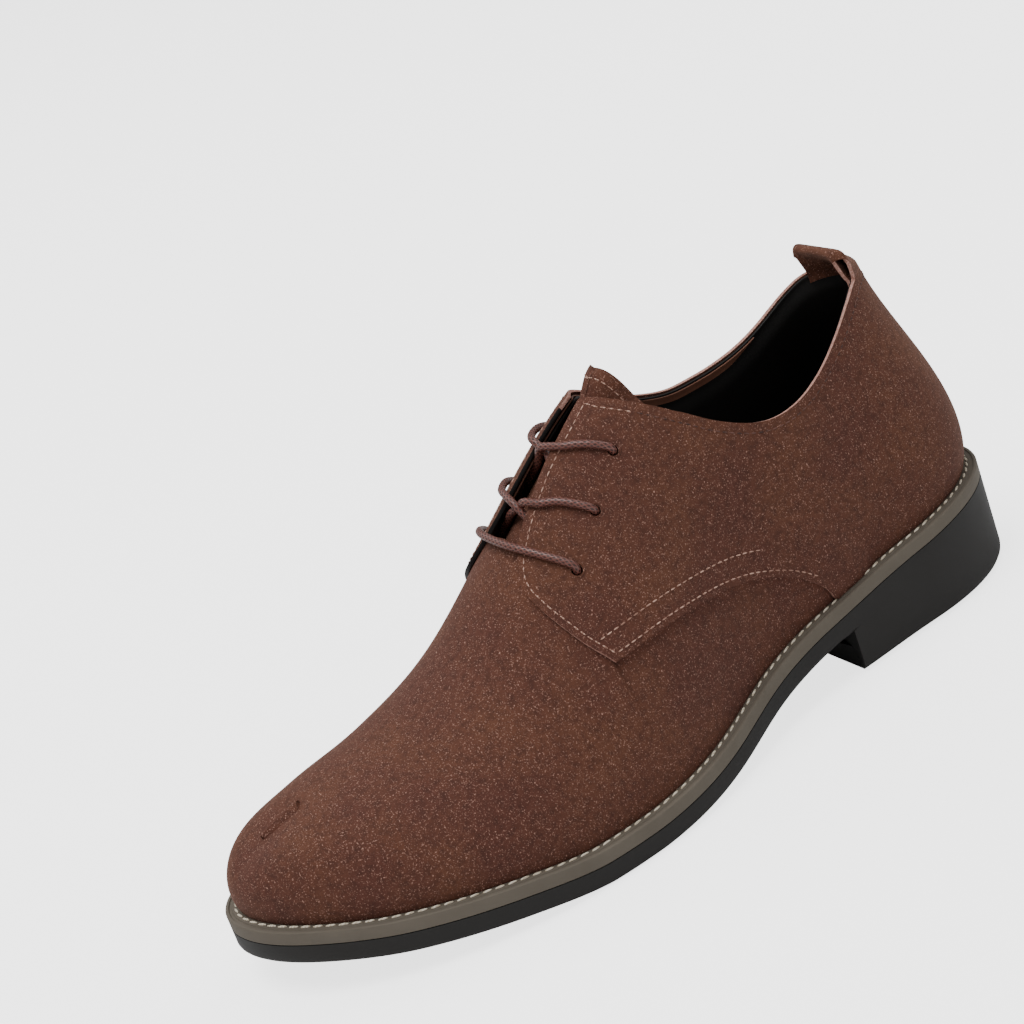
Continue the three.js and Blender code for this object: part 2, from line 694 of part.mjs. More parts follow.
// The quarter is a four-sided patch: back seam, welt and swoosh, front edge, and collar with facing.
function quarterRows(side, columns, count) {
  const front = quarterFront[quarterFront.length - 1];
  const topOf = (u) => quarterTopH(side * u);
  const gapHalf = 0.0012;
  return Array.from({ length: columns + 1 }, (_, i) => {
    const a = i / columns;
    const lowU = gapHalf + (swoosh[swoosh.length - 1][0] - gapHalf) * a;
    const lowH = lowU < swooshStart ? 0 : swooshH(lowU);
    const topU = gapHalf + (front[0] - gapHalf) * a;
    const topH = a < 1 ? Math.min(topOf(topU), patchTop) : front[1];
    return Array.from({ length: count + 1 }, (_, j) => {
      const b = closerAtTop(j / count);
      const edge = frontCurve.getPoint(b);
      const straight = quarterFront[0][0] + (front[0] - quarterFront[0][0]) * b;
      const level = quarterFront[0][1] + (front[1] - quarterFront[0][1]) * b;
      const u = lowU + (topU - lowU) * b + a * a * a * (edge.x - straight);
      const h = lowH + (topH - lowH) * b + a * a * a * (edge.y - level);
      return { s: side * u, h, lift: liftAt(side * u, h) };
    });
  });
}

const eyeletSpots = [[0.536, 0.66], [0.493, 0.702], [0.447, 0.75]];

function eyeletFrame(side, [u, h], out) {
  const axis = formNormal(side * u, h);
  const turn = new THREE.Quaternion().setFromUnitVectors(new THREE.Vector3(0, 1, 0), axis);
  return new THREE.Matrix4().compose(onForm(side * u, h, out), turn, new THREE.Vector3(1, 1, 1));
}

const barrelRadius = lace.radius + eyelet.laceClearance;
const eyeletDrills = (side) => eyeletSpots.map((spot) => ({
  radius: barrelRadius + eyelet.wall + fit,
  length: 10,
  matrix: eyeletFrame(side, spot, layer.upper[1]),
}));

function addQuarters() {
  for (const [name, side] of [['lateral', 1], ['medial', -1]]) {
    const quarter = sheet(inOrder(quarterRows(side, 24, 10), side), layer.upper);
    addPiece(`quarter_${name}`, drilled(quarter, eyeletDrills(side)), finish.upper);
    const columns = spaced(facingBack, facingFront, 8).map((u) => side * u);
    const top = (s) => Math.min(quarterTopH(s) - facingMargin, facingTop);
    const rows = rowsOf(inOrder(columns, side), 5, () => facingLow, top, liftAt);
    const facing = sheet(rows, layer.facingLining);
    addPiece(`facing_lining_${name}`, drilled(facing, eyeletDrills(side)), finish.facing);
  }
}

// On the inner side the columns run the other way, so that the faces still point out.
const inOrder = (list, side) => (side > 0 ? list : [...list].reverse());

function addHeelParts() {
  const liningTop = (s) => {
    const { u } = sideOf(s);
    const low = facingLow - liningMargin;
    const underFacing = THREE.MathUtils.smoothstep(u, facingBack - 0.03, facingBack);
    return low + (toplineH(s) - liningMargin - low) * (1 - underFacing);
  };
  const liningColumns = heelColumns([...spaced(0.03, 0.27, 6), ...spaced(0.3, liningJoint, 6)]);
  const liningRows = rowsOf(liningColumns, 7, () => 0, liningTop);
  addPiece('quarter_lining', sheet(liningRows, layer.lining), finish.lining);
  const counterTop = (s) => 0.6 - 1.9 * Math.abs(s) ** 1.5;
  const counterRows = rowsOf(heelColumns(spaced(0.03, 0.27, 6)), 5, () => 0.02, counterTop);
  addPiece('heel_counter', sheet(counterRows, layer.stiffener), finish.stiffener);
}

// The eyelets are set from inside, so that only the punched holes show outside.
function addEyelets() {
  const flangeRadius = barrelRadius + eyelet.flange;
  const outerRadius = barrelRadius + eyelet.wall;
  const flangeTop = layer.facingLining[0] + overlapLift - eyelet.clearance;
  const flangeFoot = flangeTop - eyelet.flangeThickness;
  const barrelTop = layer.upper[1] + overlapLift - eyelet.sunk;
  const profile = [[barrelRadius, flangeFoot], [flangeRadius, flangeFoot], [flangeRadius, flangeTop],
    [outerRadius, flangeTop], [outerRadius, barrelTop], [barrelRadius, barrelTop],
    [barrelRadius, flangeFoot]];
  for (const [name, side] of [['lateral', 1], ['medial', -1]]) {
    eyeletSpots.forEach((spot, i) => {
      const ringPiece = addPiece(`eyelet_${name}_${i + 1}`, lathe(profile, 8), finish.brass);
      ringPiece.applyMatrix4(eyeletFrame(side, spot, 0));
    });
  }
}

// The tongue's rows run across it, and their ends sweep back towards its top.
function tongueRows(trim) {
  const heights = spaced(tongue.side + trim * 3, 1, 6);
  return spaced(tongue.top + trim, tongue.front - trim, 10).map((u) => {
    const sweep = tongue.sweep * (1 - (u - tongue.top) / tongue.sweepLength);
    const outer = heights.map((h) => ({ s: u - sweep * (1 - h), h }));
    const inner = outer.slice(0, -1).reverse().map(({ s, h }) => ({ s: -s, h }));
    return [...outer, ...inner];
  });
}

function addTongue() {
  addPiece('tongue', sheet(tongueRows(0), layer.tongue), finish.upper);
  addPiece('tongue_lining', sheet(tongueRows(tongue.liningTrim), layer.tongueLining), finish.lining);
}

// ----- pull tab: a folded strip at the back, its legs sewn in between quarter and lining -----

function addPullTab() {
  const shares = spaced(-tab.halfShare, tab.halfShare, 8);
  const rootRows = rowsOf(shares, 3, () => tab.rootFrom, () => tab.rootTo);
  addPiece('pull_tab_root', sheet(rootRows, layer.stiffener), finish.upper);
  addPiece('pull_tab', tabLoop(shares), finish.upper);
}

// The feet rise a little towards the back, which leaves room for the tab to bend backwards.
function tabLoop(shares) {
  const { height, thickness, slit, lean, footGap, footSlope } = tab;
  const outside = tabProfile(slit / 2 + thickness, height);
  const inside = tabProfile(slit / 2, height - thickness);
  const low = [];
  const high = [];
  const feet = shares.map((s) => {
    const h = toplineH(s);
    const foot = onForm(s, h, (layer.lining[0] + layer.upper[1]) / 2);
    return { foot, out: formNormal(s, h).setZ(0).normalize() };
  });
  const front = Math.min(...feet.map(({ foot }) => foot.y)) - slit / 2 - thickness;
  for (const { foot, out } of feet) {
    const place = ([depth, rise]) => {
      const point = foot.clone().addScaledVector(out, depth);
      const relief = footGap + (rise === 0 ? footSlope * (point.y - front) : 0);
      return point.add(new THREE.Vector3(0, -lean * rise, rise + relief));
    };
    high.push(...outside.map(place));
    low.push(...inside.map(place));
  }
  const width = outside.length;
  const faces = [];
  for (let i = 0; i + 1 < shares.length; i += 1) {
    for (let j = 0; j + 1 < width; j += 1) {
      const a = i * width + j;
      faces.push([a, a + width + 1, a + width], [a, a + 1, a + width + 1]);
    }
  }
  return closeSheet(low, high, faces);
}

// Up one leg of the loop, round the top and down the other, as [depth, rise].
function tabProfile(halfDepth, top) {
  const turnSteps = 6;
  const arc = Array.from({ length: turnSteps + 1 }, (_, k) => {
    const angle = Math.PI * (k / turnSteps);
    return [halfDepth * Math.cos(angle), top - halfDepth + halfDepth * Math.sin(angle)];
  });
  const knee = top * tab.legShare;
  return [[halfDepth, 0], [halfDepth, knee], ...arc, [-halfDepth, knee], [-halfDepth, 0]];
}

// ----- lace: one cord, straight across the lowest pair and crossed above it, its ends tucked inside -----

const over = layer.upper[1] + overlapLift + fit + lace.radius;      // lying on the facing
const crossing = lace.radius + fit / 2;

// Lying between the tongue and the facing lining.
const under = (layer.tongue[1] + layer.facingLining[0] + overlapLift) / 2;

// The way of one half, from beside the middle of the lowest bar to the tucked end. Each place is the side
// (1 is where this half starts), the share along the outline, h, and how far out it lies.
const laceRoute = [
  [1, 0.536, 0.93, over], [1, 0.536, 0.86, over], [1, 0.536, 0.78, over], [1, 0.536, 0.71, over],
  [1, 0.536, 0.671, 6.6], [1, 0.536, 0.66, 4.6], [1, 0.536, 0.66, 2.9], [1, 0.5365, 0.666, 1.2],
  [1, 0.539, 0.7, under], [1, 0.541, 0.78, under], [1, 0.541, 0.86, under], [1, 0.539, 0.93, 2],
  [0, 0.535, 1, 4.5], [-1, 0.53, 0.94, 6.6],
  [-1, 0.524, 0.88, over], [-1, 0.513, 0.82, over], [-1, 0.503, 0.76, over],
  [-1, 0.495, 0.714, 6.6], [-1, 0.493, 0.702, 4.6], [-1, 0.493, 0.702, 2.9], [-1, 0.4935, 0.708, 1.2],
  [-1, 0.496, 0.745, under], [-1, 0.499, 0.81, under], [-1, 0.499, 0.89, under], [-1, 0.496, 0.95, 2.2],
  [0, 0.491, 1, 4.5], [1, 0.486, 0.95, 6.6],
  [1, 0.48, 0.905, over], [1, 0.469, 0.855, over], [1, 0.458, 0.805, over],
  [1, 0.449, 0.763, 6.6], [1, 0.447, 0.75, 4.6], [1, 0.447, 0.75, 2.9], [1, 0.448, 0.744, 1.2],
  [1, 0.454, 0.706, under], [1, 0.468, 0.67, under], [1, 0.485, 0.643, under], [1, 0.502, 0.626, under],
  [1, 0.519, 0.614, under],
];

// A curve that gives each stretch between two of its points one step, however long the stretch is.
class HandRoute extends THREE.CatmullRomCurve3 {
  getUtoTmapping(u) {
    return u;
  }
}

function lacePoints(side) {
  return laceRoute.map(([way, u, h, out]) => onForm(way < 0 ? -side * u : side * u, h,
    way === 0 ? out + side * crossing : out));
}

function addLace() {
  const points = [...lacePoints(1).reverse(), ...lacePoints(-1)];
  const path = new HandRoute(points, false, 'centripetal');
  const section = new THREE.Shape(Array.from({ length: lace.sides }, (_, i) => {
    const angle = 2 * Math.PI * (i / lace.sides);
    return new THREE.Vector2(lace.radius * Math.cos(angle), lace.radius * Math.sin(angle));
  }));
  const settings = { steps: points.length - 1, extrudePath: path };
  addPiece('lace', new THREE.ExtrudeGeometry(section, settings), finish.lace);
  const inner = lace.radius + aglet.laceClearance;
  const outer = inner + aglet.wall;
  const profile = [[inner, 0], [outer, 0], [outer, aglet.length], [inner, aglet.length], [inner, 0]];
  [0, 1].forEach((end) => {
    const tube = addPiece(`aglet_${end + 1}`, lathe(profile, 10), finish.aglet);
    const tip = end === 0 ? points[0] : points[points.length - 1];
    const next = end === 0 ? points[1] : points[points.length - 2];
    const inward = next.clone().sub(tip);
    tube.position.copy(tip);
    tube.quaternion.setFromUnitVectors(new THREE.Vector3(0, 1, 0), inward.normalize());
  });
}

addBottom();
addNails();
addVamp();
addQuarters();
addHeelParts();
addEyelets();
addTongue();
addPullTab();
addLace();

export default shoe;
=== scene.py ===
import json
import math

import bpy
import numpy as np
from mathutils import Matrix, Vector


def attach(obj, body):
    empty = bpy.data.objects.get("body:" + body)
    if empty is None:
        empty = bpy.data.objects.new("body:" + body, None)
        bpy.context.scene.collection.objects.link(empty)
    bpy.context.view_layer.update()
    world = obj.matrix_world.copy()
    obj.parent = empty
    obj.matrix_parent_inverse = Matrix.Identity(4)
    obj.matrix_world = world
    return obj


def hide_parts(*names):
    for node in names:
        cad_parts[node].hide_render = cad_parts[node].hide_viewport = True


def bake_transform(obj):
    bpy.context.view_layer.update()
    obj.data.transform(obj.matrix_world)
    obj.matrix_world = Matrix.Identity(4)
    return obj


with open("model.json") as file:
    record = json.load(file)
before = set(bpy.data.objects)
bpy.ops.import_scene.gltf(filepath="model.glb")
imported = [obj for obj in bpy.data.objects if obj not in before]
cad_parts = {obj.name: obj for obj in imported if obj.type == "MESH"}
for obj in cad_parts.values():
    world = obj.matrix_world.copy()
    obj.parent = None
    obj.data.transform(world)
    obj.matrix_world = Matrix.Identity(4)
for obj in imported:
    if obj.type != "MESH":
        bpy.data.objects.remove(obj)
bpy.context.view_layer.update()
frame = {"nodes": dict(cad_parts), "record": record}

# The shoe is worked out in millimetres on its foot form and turned to metres when a piece is laid.
mm = 0.001

# ---------- camera, floor and light ----------

cameraSetup = {
    "azimuth": 63.21, "elevation": 22.38, "roll": -19.94,
    "distance": 958.5, "target": (-39.0, 0.0, 81.4),
    "lens": 104.06, "sensor": 36.0,
}


def placeCamera():
    azimuth = math.radians(cameraSetup["azimuth"])
    elevation = math.radians(cameraSetup["elevation"])
    roll = math.radians(cameraSetup["roll"])
    back = Vector((math.sin(azimuth) * math.cos(elevation), -math.cos(azimuth) * math.cos(elevation),
                   math.sin(elevation)))
    right = Vector((0, 0, 1)).cross(back).normalized()
    up = back.cross(right)
    across = right * math.cos(roll) + up * math.sin(roll)
    along = up * math.cos(roll) - right * math.sin(roll)
    turn = Matrix((across, along, back)).transposed()
    bpy.ops.object.camera_add()
    camera = bpy.context.active_object
    camera.name = "studio_camera"
    camera.data.lens = cameraSetup["lens"]
    camera.data.sensor_width = cameraSetup["sensor"]
    camera.data.clip_end = 20
    spot = (Vector(cameraSetup["target"]) + back * cameraSetup["distance"]) * mm
    camera.matrix_world = Matrix.Translation(spot) @ turn.to_4x4()
    bpy.context.scene.camera = camera


studio = {
    "floorSize": 8.0,
    "worldLevel": 0.3,
    "paperGlow": 2.4,
    # name: position in metres, size in metres, watts
    "lamps": {
        "key": ((0.1, -0.5, 1.7), 1.0, 24),
        "back": ((-0.2, 1.2, 1.3), 1.0, 8),
        "fill": ((1.7, -0.3, 0.6), 1.2, 4),
        "far": ((-1.3, -0.3, 1.1), 1.2, 7),
    },
}


def buildStudio():
    bpy.ops.object.select_all(action="DESELECT")
    bpy.ops.mesh.primitive_plane_add(size=studio["floorSize"])
    floor = bpy.context.active_object
    floor.name = "studio_floor"
    floor.data.materials.append(paperSweep())
    world = bpy.data.worlds.new("studio_air")
    world.use_nodes = True
    world.node_tree.nodes["Background"].inputs["Color"].default_value = linear("#ffffff")
    world.node_tree.nodes["Background"].inputs["Strength"].default_value = studio["worldLevel"]
    bpy.context.scene.world = world
    aim = Vector((0, 0, 0.05))
    for name, (place, size, watts) in studio["lamps"].items():
        bpy.ops.object.light_add(type="AREA", location=place)
        lamp = bpy.context.active_object
        lamp.name = name + "_lamp"
        lamp.data.size = size
        lamp.data.energy = watts
        lamp.rotation_euler = (aim - lamp.location).to_track_quat("-Z", "Y").to_euler()


# ---------- materials ----------

# sRGB hex to the linear values that shaders use
def linear(code):
    parts = [int(code[i:i + 2], 16) / 255 for i in (1, 3, 5)]
    return [v / 12.92 if v <= 0.04045 else ((v + 0.055) / 1.055) ** 2.4 for v in parts] + [1]


# one node with its settings, and its inputs as values or as links from other nodes' sockets
def add(tree, kind, settings=None, inputs=None):
    node = tree.nodes.new(kind)
    for name, value in (settings or {}).items():
        setattr(node, name, value)
    for name, value in (inputs or {}).items():
        if isinstance(value, bpy.types.NodeSocket):
            tree.links.new(value, node.inputs[name])
        else:
            node.inputs[name].default_value = value
    return node


def newMaterial(name):
    material = bpy.data.materials.new(name)
    material.use_nodes = True
    material.node_tree.nodes.clear()
    return material, material.node_tree


# the shader of every finish, with its constants set on its own sockets
def dress(tree, **inputs):
    names = {"colour": "Base Color", "roughness": "Roughness", "normal": "Normal", "metallic": "Metallic",
             "sheen": "Sheen Weight", "sheenRoughness": "Sheen Roughness", "sheenTint": "Sheen Tint",
             "coat": "Coat Weight", "coatRoughness": "Coat Roughness", "specular": "Specular IOR Level",
             "glowColour": "Emission Color", "glow": "Emission Strength"}
    shader = add(tree, "ShaderNodeBsdfPrincipled", None, {names[k]: v for k, v in inputs.items()})
    add(tree, "ShaderNodeOutputMaterial", None, {"Surface": shader.outputs[0]})


# Matt background paper, lit by itself from behind as on a light table, so it stays pale round the shoe.
def paperSweep():
    material, tree = newMaterial("background paper")
    seen = add(tree, "ShaderNodeLightPath").outputs["Is Camera Ray"]
    glow = add(tree, "ShaderNodeMath", {"operation": "MULTIPLY"}, {0: seen, 1: studio["paperGlow"]}).outputs[0]
    dress(tree, colour=linear("#f1f1f1"), roughness=0.95, specular=0.1, glowColour=linear("#ffffff"), glow=glow)
    return material


# Nubuck: the grain side of the hide, buffed to a short nap. The nap gives a dull, slightly velvety face with
# cloudy tone, and the wax left in it catches the light as fine pale flecks.
nubuckLook = {
    "dark": "#39201a", "middle": "#553127", "light": "#603b2b", "fleck": "#b98f7f",
    "cloud": 26.0, "mottle": 2.4, "nap": 0.5, "fleckSize": 0.45,
}


def nubuck():
    material, tree = newMaterial("nubuck leather, brown")
    place = add(tree, "ShaderNodeTexCoord").outputs["Object"]
    cloud = add(tree, "ShaderNodeTexNoise", None,
                {"Vector": place, "Scale": 1 / (nubuckLook["cloud"] * mm), "Detail": 3.0}).outputs[0]
    mottle = add(tree, "ShaderNodeTexNoise", None,
                 {"Vector": place, "Scale": 1 / (nubuckLook["mottle"] * mm), "Detail": 4.0}).outputs[0]
    nap = add(tree, "ShaderNodeTexNoise", None,
              {"Vector": place, "Scale": 1 / (nubuckLook["nap"] * mm), "Detail": 2.0}).outputs[0]
    speck = add(tree, "ShaderNodeTexNoise", None,
                {"Vector": place, "Scale": 1 / (nubuckLook["fleckSize"] * mm), "Detail": 1.0,
                 "Distortion": 0.6}).outputs[0]
    tone = add(tree, "ShaderNodeMapRange", None,
               {"Value": cloud, "From Min": 0.35, "From Max": 0.65}).outputs[0]
    base = add(tree, "ShaderNodeMix", {"data_type": "RGBA"},
               {0: tone, 6: linear(nubuckLook["middle"]), 7: linear(nubuckLook["light"])}).outputs[2]
    shade = add(tree, "ShaderNodeMapRange", None,
                {"Value": mottle, "From Min": 0.42, "From Max": 0.7, "To Max": 0.55}).outputs[0]
    toned = add(tree, "ShaderNodeMix", {"data_type": "RGBA"},
                {0: shade, 6: base, 7: linear(nubuckLook["dark"])}).outputs[2]
    napShade = add(tree, "ShaderNodeMapRange", None,
                   {"Value": nap, "From Min": 0.5, "From Max": 0.75, "To Max": 0.5}).outputs[0]
    napped = add(tree, "ShaderNodeMix", {"data_type": "RGBA"},
                 {0: napShade, 6: toned, 7: linear(nubuckLook["dark"])}).outputs[2]
    flecks = add(tree, "ShaderNodeMapRange", None,
                 {"Value": speck, "From Min": 0.6, "From Max": 0.78, "To Max": 0.85}).outputs[0]
    colour = add(tree, "ShaderNodeMix", {"data_type": "RGBA"},
                 {0: flecks, 6: napped, 7: linear(nubuckLook["fleck"])}).outputs[2]
    relief = add(tree, "ShaderNodeBump", None,
                 {"Strength": 0.35, "Distance": 0.0002, "Height": nap}).outputs[0]
    dress(tree, colour=colour, roughness=0.86, normal=relief, sheen=0.18, sheenRoughness=0.5,
          sheenTint=linear("#c79a84"), specular=0.25)
    return material


# Raw cut edge of the hide: unfinished fibres, paler and pinker than the dyed face.
def rawEdge():
    material, tree = newMaterial("leather, raw cut edge")
    place = add(tree, "ShaderNodeTexCoord").outputs["Object"]
    fibre = add(tree, "ShaderNodeTexNoise", None, {"Vector": place, "Scale": 1800.0, "Detail": 3.0}).outputs[0]
    tone = add(tree, "ShaderNodeMapRange", None, {"Value": fibre, "From Min": 0.35, "From Max": 0.65}).outputs[0]
    colour = add(tree, "ShaderNodeMix", {"data_type": "RGBA"},
                 {0: tone, 6: linear("#93665a"), 7: linear("#c59a8c")}).outputs[2]
    relief = add(tree, "ShaderNodeBump", None, {"Strength": 0.4, "Distance": 0.0001, "Height": fibre}).outputs[0]
    dress(tree, colour=colour, roughness=0.8, normal=relief, specular=0.3)
    return material


# Pigskin lining, drum dyed: smooth, with shallow pores in threes that only show where light grazes it.
def liningLeather(name, dark, light):
    material, tree = newMaterial(name)
    place = add(tree, "ShaderNodeTexCoord").outputs["Object"]
    pores = add(tree, "ShaderNodeTexVoronoi", None, {"Vector": place, "Scale": 900.0}).outputs["Distance"]
    cloud = add(tree, "ShaderNodeTexNoise", None, {"Vector": place, "Scale": 90.0, "Detail": 3.0}).outputs[0]
    colour = add(tree, "ShaderNodeMix", {"data_type": "RGBA"},
                 {0: cloud, 6: linear(dark), 7: linear(light)}).outputs[2]
    relief = add(tree, "ShaderNodeBump", None, {"Strength": 0.25, "Distance": 0.0001, "Height": pores}).outputs[0]
    dress(tree, colour=colour, roughness=0.62, normal=relief, specular=0.35)
    return material


# Moulded sole rubber: a satin skin from the mould with a very fine spark-eroded grain.
def soleRubber():
    material, tree = newMaterial("moulded rubber, black")
    place = add(tree, "ShaderNodeTexCoord").outputs["Object"]
    grain = add(tree, "ShaderNodeTexNoise", None, {"Vector": place, "Scale": 1400.0, "Detail": 2.0}).outputs[0]
    dust = add(tree, "ShaderNodeTexNoise", None, {"Vector": place, "Scale": 40.0, "Detail": 4.0}).outputs[0]
    colour = add(tree, "ShaderNodeMix", {"data_type": "RGBA"},
                 {0: dust, 6: linear("#12100e"), 7: linear("#1d1a17")}).outputs[2]
    rough = add(tree, "ShaderNodeMapRange", None, {"Value": dust, "To Min": 0.5, "To Max": 0.68}).outputs[0]
    relief = add(tree, "ShaderNodeBump", None, {"Strength": 0.2, "Distance": 0.0001, "Height": grain}).outputs[0]
    dress(tree, colour=colour, roughness=rough, normal=relief, specular=0.4)
    return material


# Extruded rubber welt, taupe: matt, with a fine grain and a cloudy tone.
def weltRubber():
    material, tree = newMaterial("extruded rubber welt, taupe")
    place = add(tree, "ShaderNodeTexCoord").outputs["Object"]
    grain = add(tree, "ShaderNodeTexNoise", None, {"Vector": place, "Scale": 1100.0, "Detail": 2.0}).outputs[0]
    cloud = add(tree, "ShaderNodeTexNoise", None, {"Vector": place, "Scale": 60.0, "Detail": 3.0}).outputs[0]
    colour = add(tree, "ShaderNodeMix", {"data_type": "RGBA"},
                 {0: cloud, 6: linear("#574f45"), 7: linear("#6d6559")}).outputs[2]
    relief = add(tree, "ShaderNodeBump", None, {"Strength": 0.25, "Distance": 0.0001, "Height": grain}).outputs[0]
    dress(tree, colour=colour, roughness=0.66, normal=relief, specular=0.35)
    return material


# Bonded sewing thread: three plies laid in a steep twist under a thin wax, so each stitch has soft stripes.
def sewingThread(name, dark, light):
    material, tree = newMaterial(name)
    place = add(tree, "ShaderNodeTexCoord").outputs["Object"]
    ply = add(tree, "ShaderNodeTexWave", None, {"Vector": place, "Scale": 420.0, "Distortion": 1.5}).outputs[1]
    colour = add(tree, "ShaderNodeMix", {"data_type": "RGBA"},
                 {0: ply, 6: linear(dark), 7: linear(light)}).outputs[2]
    dress(tree, colour=colour, roughness=0.6, specular=0.4)
    return material


# Waxed round lace: cotton strands braided tight over a core and waxed, so their crowns shine. The crowns are painted
# lighter as a painted highlight, and the grooves between strands darker as painted shade.
def waxedBraid():
    material, tree = newMaterial("waxed cotton braid, dark brown")
    lift = add(tree, "ShaderNodeAttribute", {"attribute_name": "strandHeight"}).outputs["Fac"]
    place = add(tree, "ShaderNodeTexCoord").outputs["Object"]
    cloud = add(tree, "ShaderNodeTexNoise", None, {"Vector": place, "Scale": 250.0, "Detail": 3.0}).outputs[0]
    # painted highlight on the strand crowns and painted shade in the grooves, set by strand height
    strand = add(tree, "ShaderNodeMix", {"data_type": "RGBA"},
                 {0: lift, 6: linear("#2a1410"), 7: linear("#85544a")}).outputs[2]
    worn = add(tree, "ShaderNodeMapRange", None, {"Value": cloud, "From Min": 0.4, "To Max": 0.6}).outputs[0]
    colour = add(tree, "ShaderNodeMix", {"data_type": "RGBA"},
                 {0: worn, 6: strand, 7: linear("#4a2a23")}).outputs[2]
    rough = add(tree, "ShaderNodeMapRange", None, {"Value": lift, "To Min": 0.55, "To Max": 0.26}).outputs[0]
    dress(tree, colour=colour, roughness=rough, specular=0.5)
    return material


def plainFinish(name, dark, light, size, roughness, metallic=0.0):   # inner pieces, toned by one fine noise
    material, tree = newMaterial(name)
    place = add(tree, "ShaderNodeTexCoord").outputs["Object"]
    noise = add(tree, "ShaderNodeTexNoise", None,
                {"Vector": place, "Scale": 1 / (size * mm), "Detail": 3.0}).outputs[0]
    colour = add(tree, "ShaderNodeMix", {"data_type": "RGBA"},
                 {0: noise, 6: linear(dark), 7: linear(light)}).outputs[2]
    relief = add(tree, "ShaderNodeBump", None, {"Strength": 0.2, "Distance": 0.0002, "Height": noise}).outputs[0]
    dress(tree, colour=colour, roughness=roughness, normal=relief, metallic=metallic)
    return material


print("stage: camera and studio")
placeCamera()
buildStudio()

finish = {
    "upper_leather": nubuck(),
    "raw_edge": rawEdge(),
    "black_lining": liningLeather("pigskin lining, black", "#0c0b0a", "#171412"),
    "facing_leather": liningLeather("pigskin facing, brown", "#5f3b2d", "#76503e"),
    "sole_rubber": soleRubber(),
    "welt": weltRubber(),
    "welt_thread": sewingThread("bonded thread, cream", "#c4b59b", "#efe6d3"),
    "upper_thread": sewingThread("bonded thread, rosy", "#8f6858", "#cba593"),
    "collar_thread": sewingThread("bonded thread, dark brown", "#3a231d", "#69463b"),
    "lace_cord": waxedBraid(),
    "aglet_film": plainFinish("acetate film, dark brown", "#241613", "#33201b", 3.0, 0.25),
    "eyelet_brass": plainFinish("antiqued brass", "#5f4a26", "#8f7240", 1.5, 0.42, 1.0),
    "nail_steel": plainFinish("drawn steel wire", "#85888c", "#a3a6a9", 0.8, 0.35, 1.0),
    "shank_steel": plainFinish("spring steel strip", "#7c8085", "#9a9ea3", 2.0, 0.38, 1.0),
    "cork": plainFinish("ground cork filler", "#6f4d2b", "#b48a58", 1.6, 0.95),
    "board": plainFinish("cellulose board", "#7c6245", "#97795a", 1.0, 0.92),
    "stiffener": plainFinish("thermoplastic stiffener", "#a99b80", "#c4b79c", 2.5, 0.85),
}

# ---------- the foot form ----------

sole = {
    "length": 300.0, "heelHalfWidth": 33.7, "heelReach": 50.0,
    "waistOuter": 35.2, "waistOuterReach": 92.6, "waistInner": 28.5, "waistInnerReach": 115.0,
    "ballOuter": 55.7, "ballOuterReach": 193.0, "ballInner": 49.5, "ballInnerReach": 214.0,
    "toeShift": 9.0, "toeRoundOuter": 0.56, "toeRoundInner": 0.62, "thickness": 6.9,
}
welt = {"thickness": 4.6, "shelf": 4.6, "width": 14.0, "edge": 0.5, "groove": 0.4}
layer = {"lining": (0.0, 0.8), "upper": (2.4, 3.7), "tongue": (-2.6, -1.3)}
fit = 0.3
overlapLift = layer["upper"][1] - layer["upper"][0] + 0.4
lastInset = welt["shelf"] + layer["upper"][1]
half = sole["length"] / 2
centreX = (sole["ballOuter"] - sole["ballInner"]) / 2


def smoothstep(place, low, high):
    share = np.clip((place - low) / (high - low), 0, 1)
    return share * share * (3 - 2 * share)


# A smooth curve through [place, value] keys, flat at both ends.
def keyed(keys, place):
    at, value = np.array(keys, float).T
    span = np.diff(at)
    grade = np.diff(value) / span
    slope = np.zeros(len(at))
    slope[1:-1] = (grade[:-1] * span[1:] + grade[1:] * span[:-1]) / (span[:-1] + span[1:])
    place = np.clip(place, at[0], at[-1])
    i = np.clip(np.searchsorted(at, place, side="right") - 1, 0, len(at) - 2)
    t = (place - at[i]) / span[i]
    rise = t * t * (3 - 2 * t)
    return (value[i] * (1 - rise) + value[i + 1] * rise
            + slope[i] * span[i] * t * (1 - t) ** 2 - slope[i + 1] * span[i] * t * t * (1 - t))


# One side of the sole's outline from heel to toe, as a table of share, x, y and direction.
def outlineSide(waist, waistReach, ball, ballReach, tip, toeRound):
    soft = 0.42
    wide, reach, length = sole["heelHalfWidth"], sole["heelReach"], sole["length"]
    stretches = [
        [(0, 0), (wide * 0.6, 0), (wide, reach * soft), (wide, reach)],
        [(wide, reach), (wide, reach + soft * (waistReach - reach)),
         (waist, waistReach - soft * (waistReach - reach)), (waist, waistReach)],
        [(waist, waistReach), (waist, waistReach + soft * (ballReach - waistReach)),
         (ball, ballReach - 0.5 * (ballReach - waistReach)), (ball, ballReach)],
        [(ball, ballReach), (ball, ballReach + 0.5 * (length - ballReach)),
         (tip + toeRound * (ball - tip), length), (tip, length)],
    ]
    t = np.linspace(0, 1, 600)[:, None]
    places, ways = [], []
    for stretch in stretches:
        a, b, c, d = [np.array((x, half - far)) for x, far in stretch]
        places.append((1 - t) ** 3 * a + 3 * (1 - t) ** 2 * t * b + 3 * (1 - t) * t * t * c + t ** 3 * d)
        ways.append((1 - t) ** 2 * (b - a) + 2 * (1 - t) * t * (c - b) + t * t * (d - c))
    places, ways = np.vstack(places), np.vstack(ways)
    ways /= np.linalg.norm(ways, axis=1)[:, None]
    run = np.concatenate([[0], np.cumsum(np.linalg.norm(np.diff(places, axis=0), axis=1))])
    return run / run[-1], places, ways


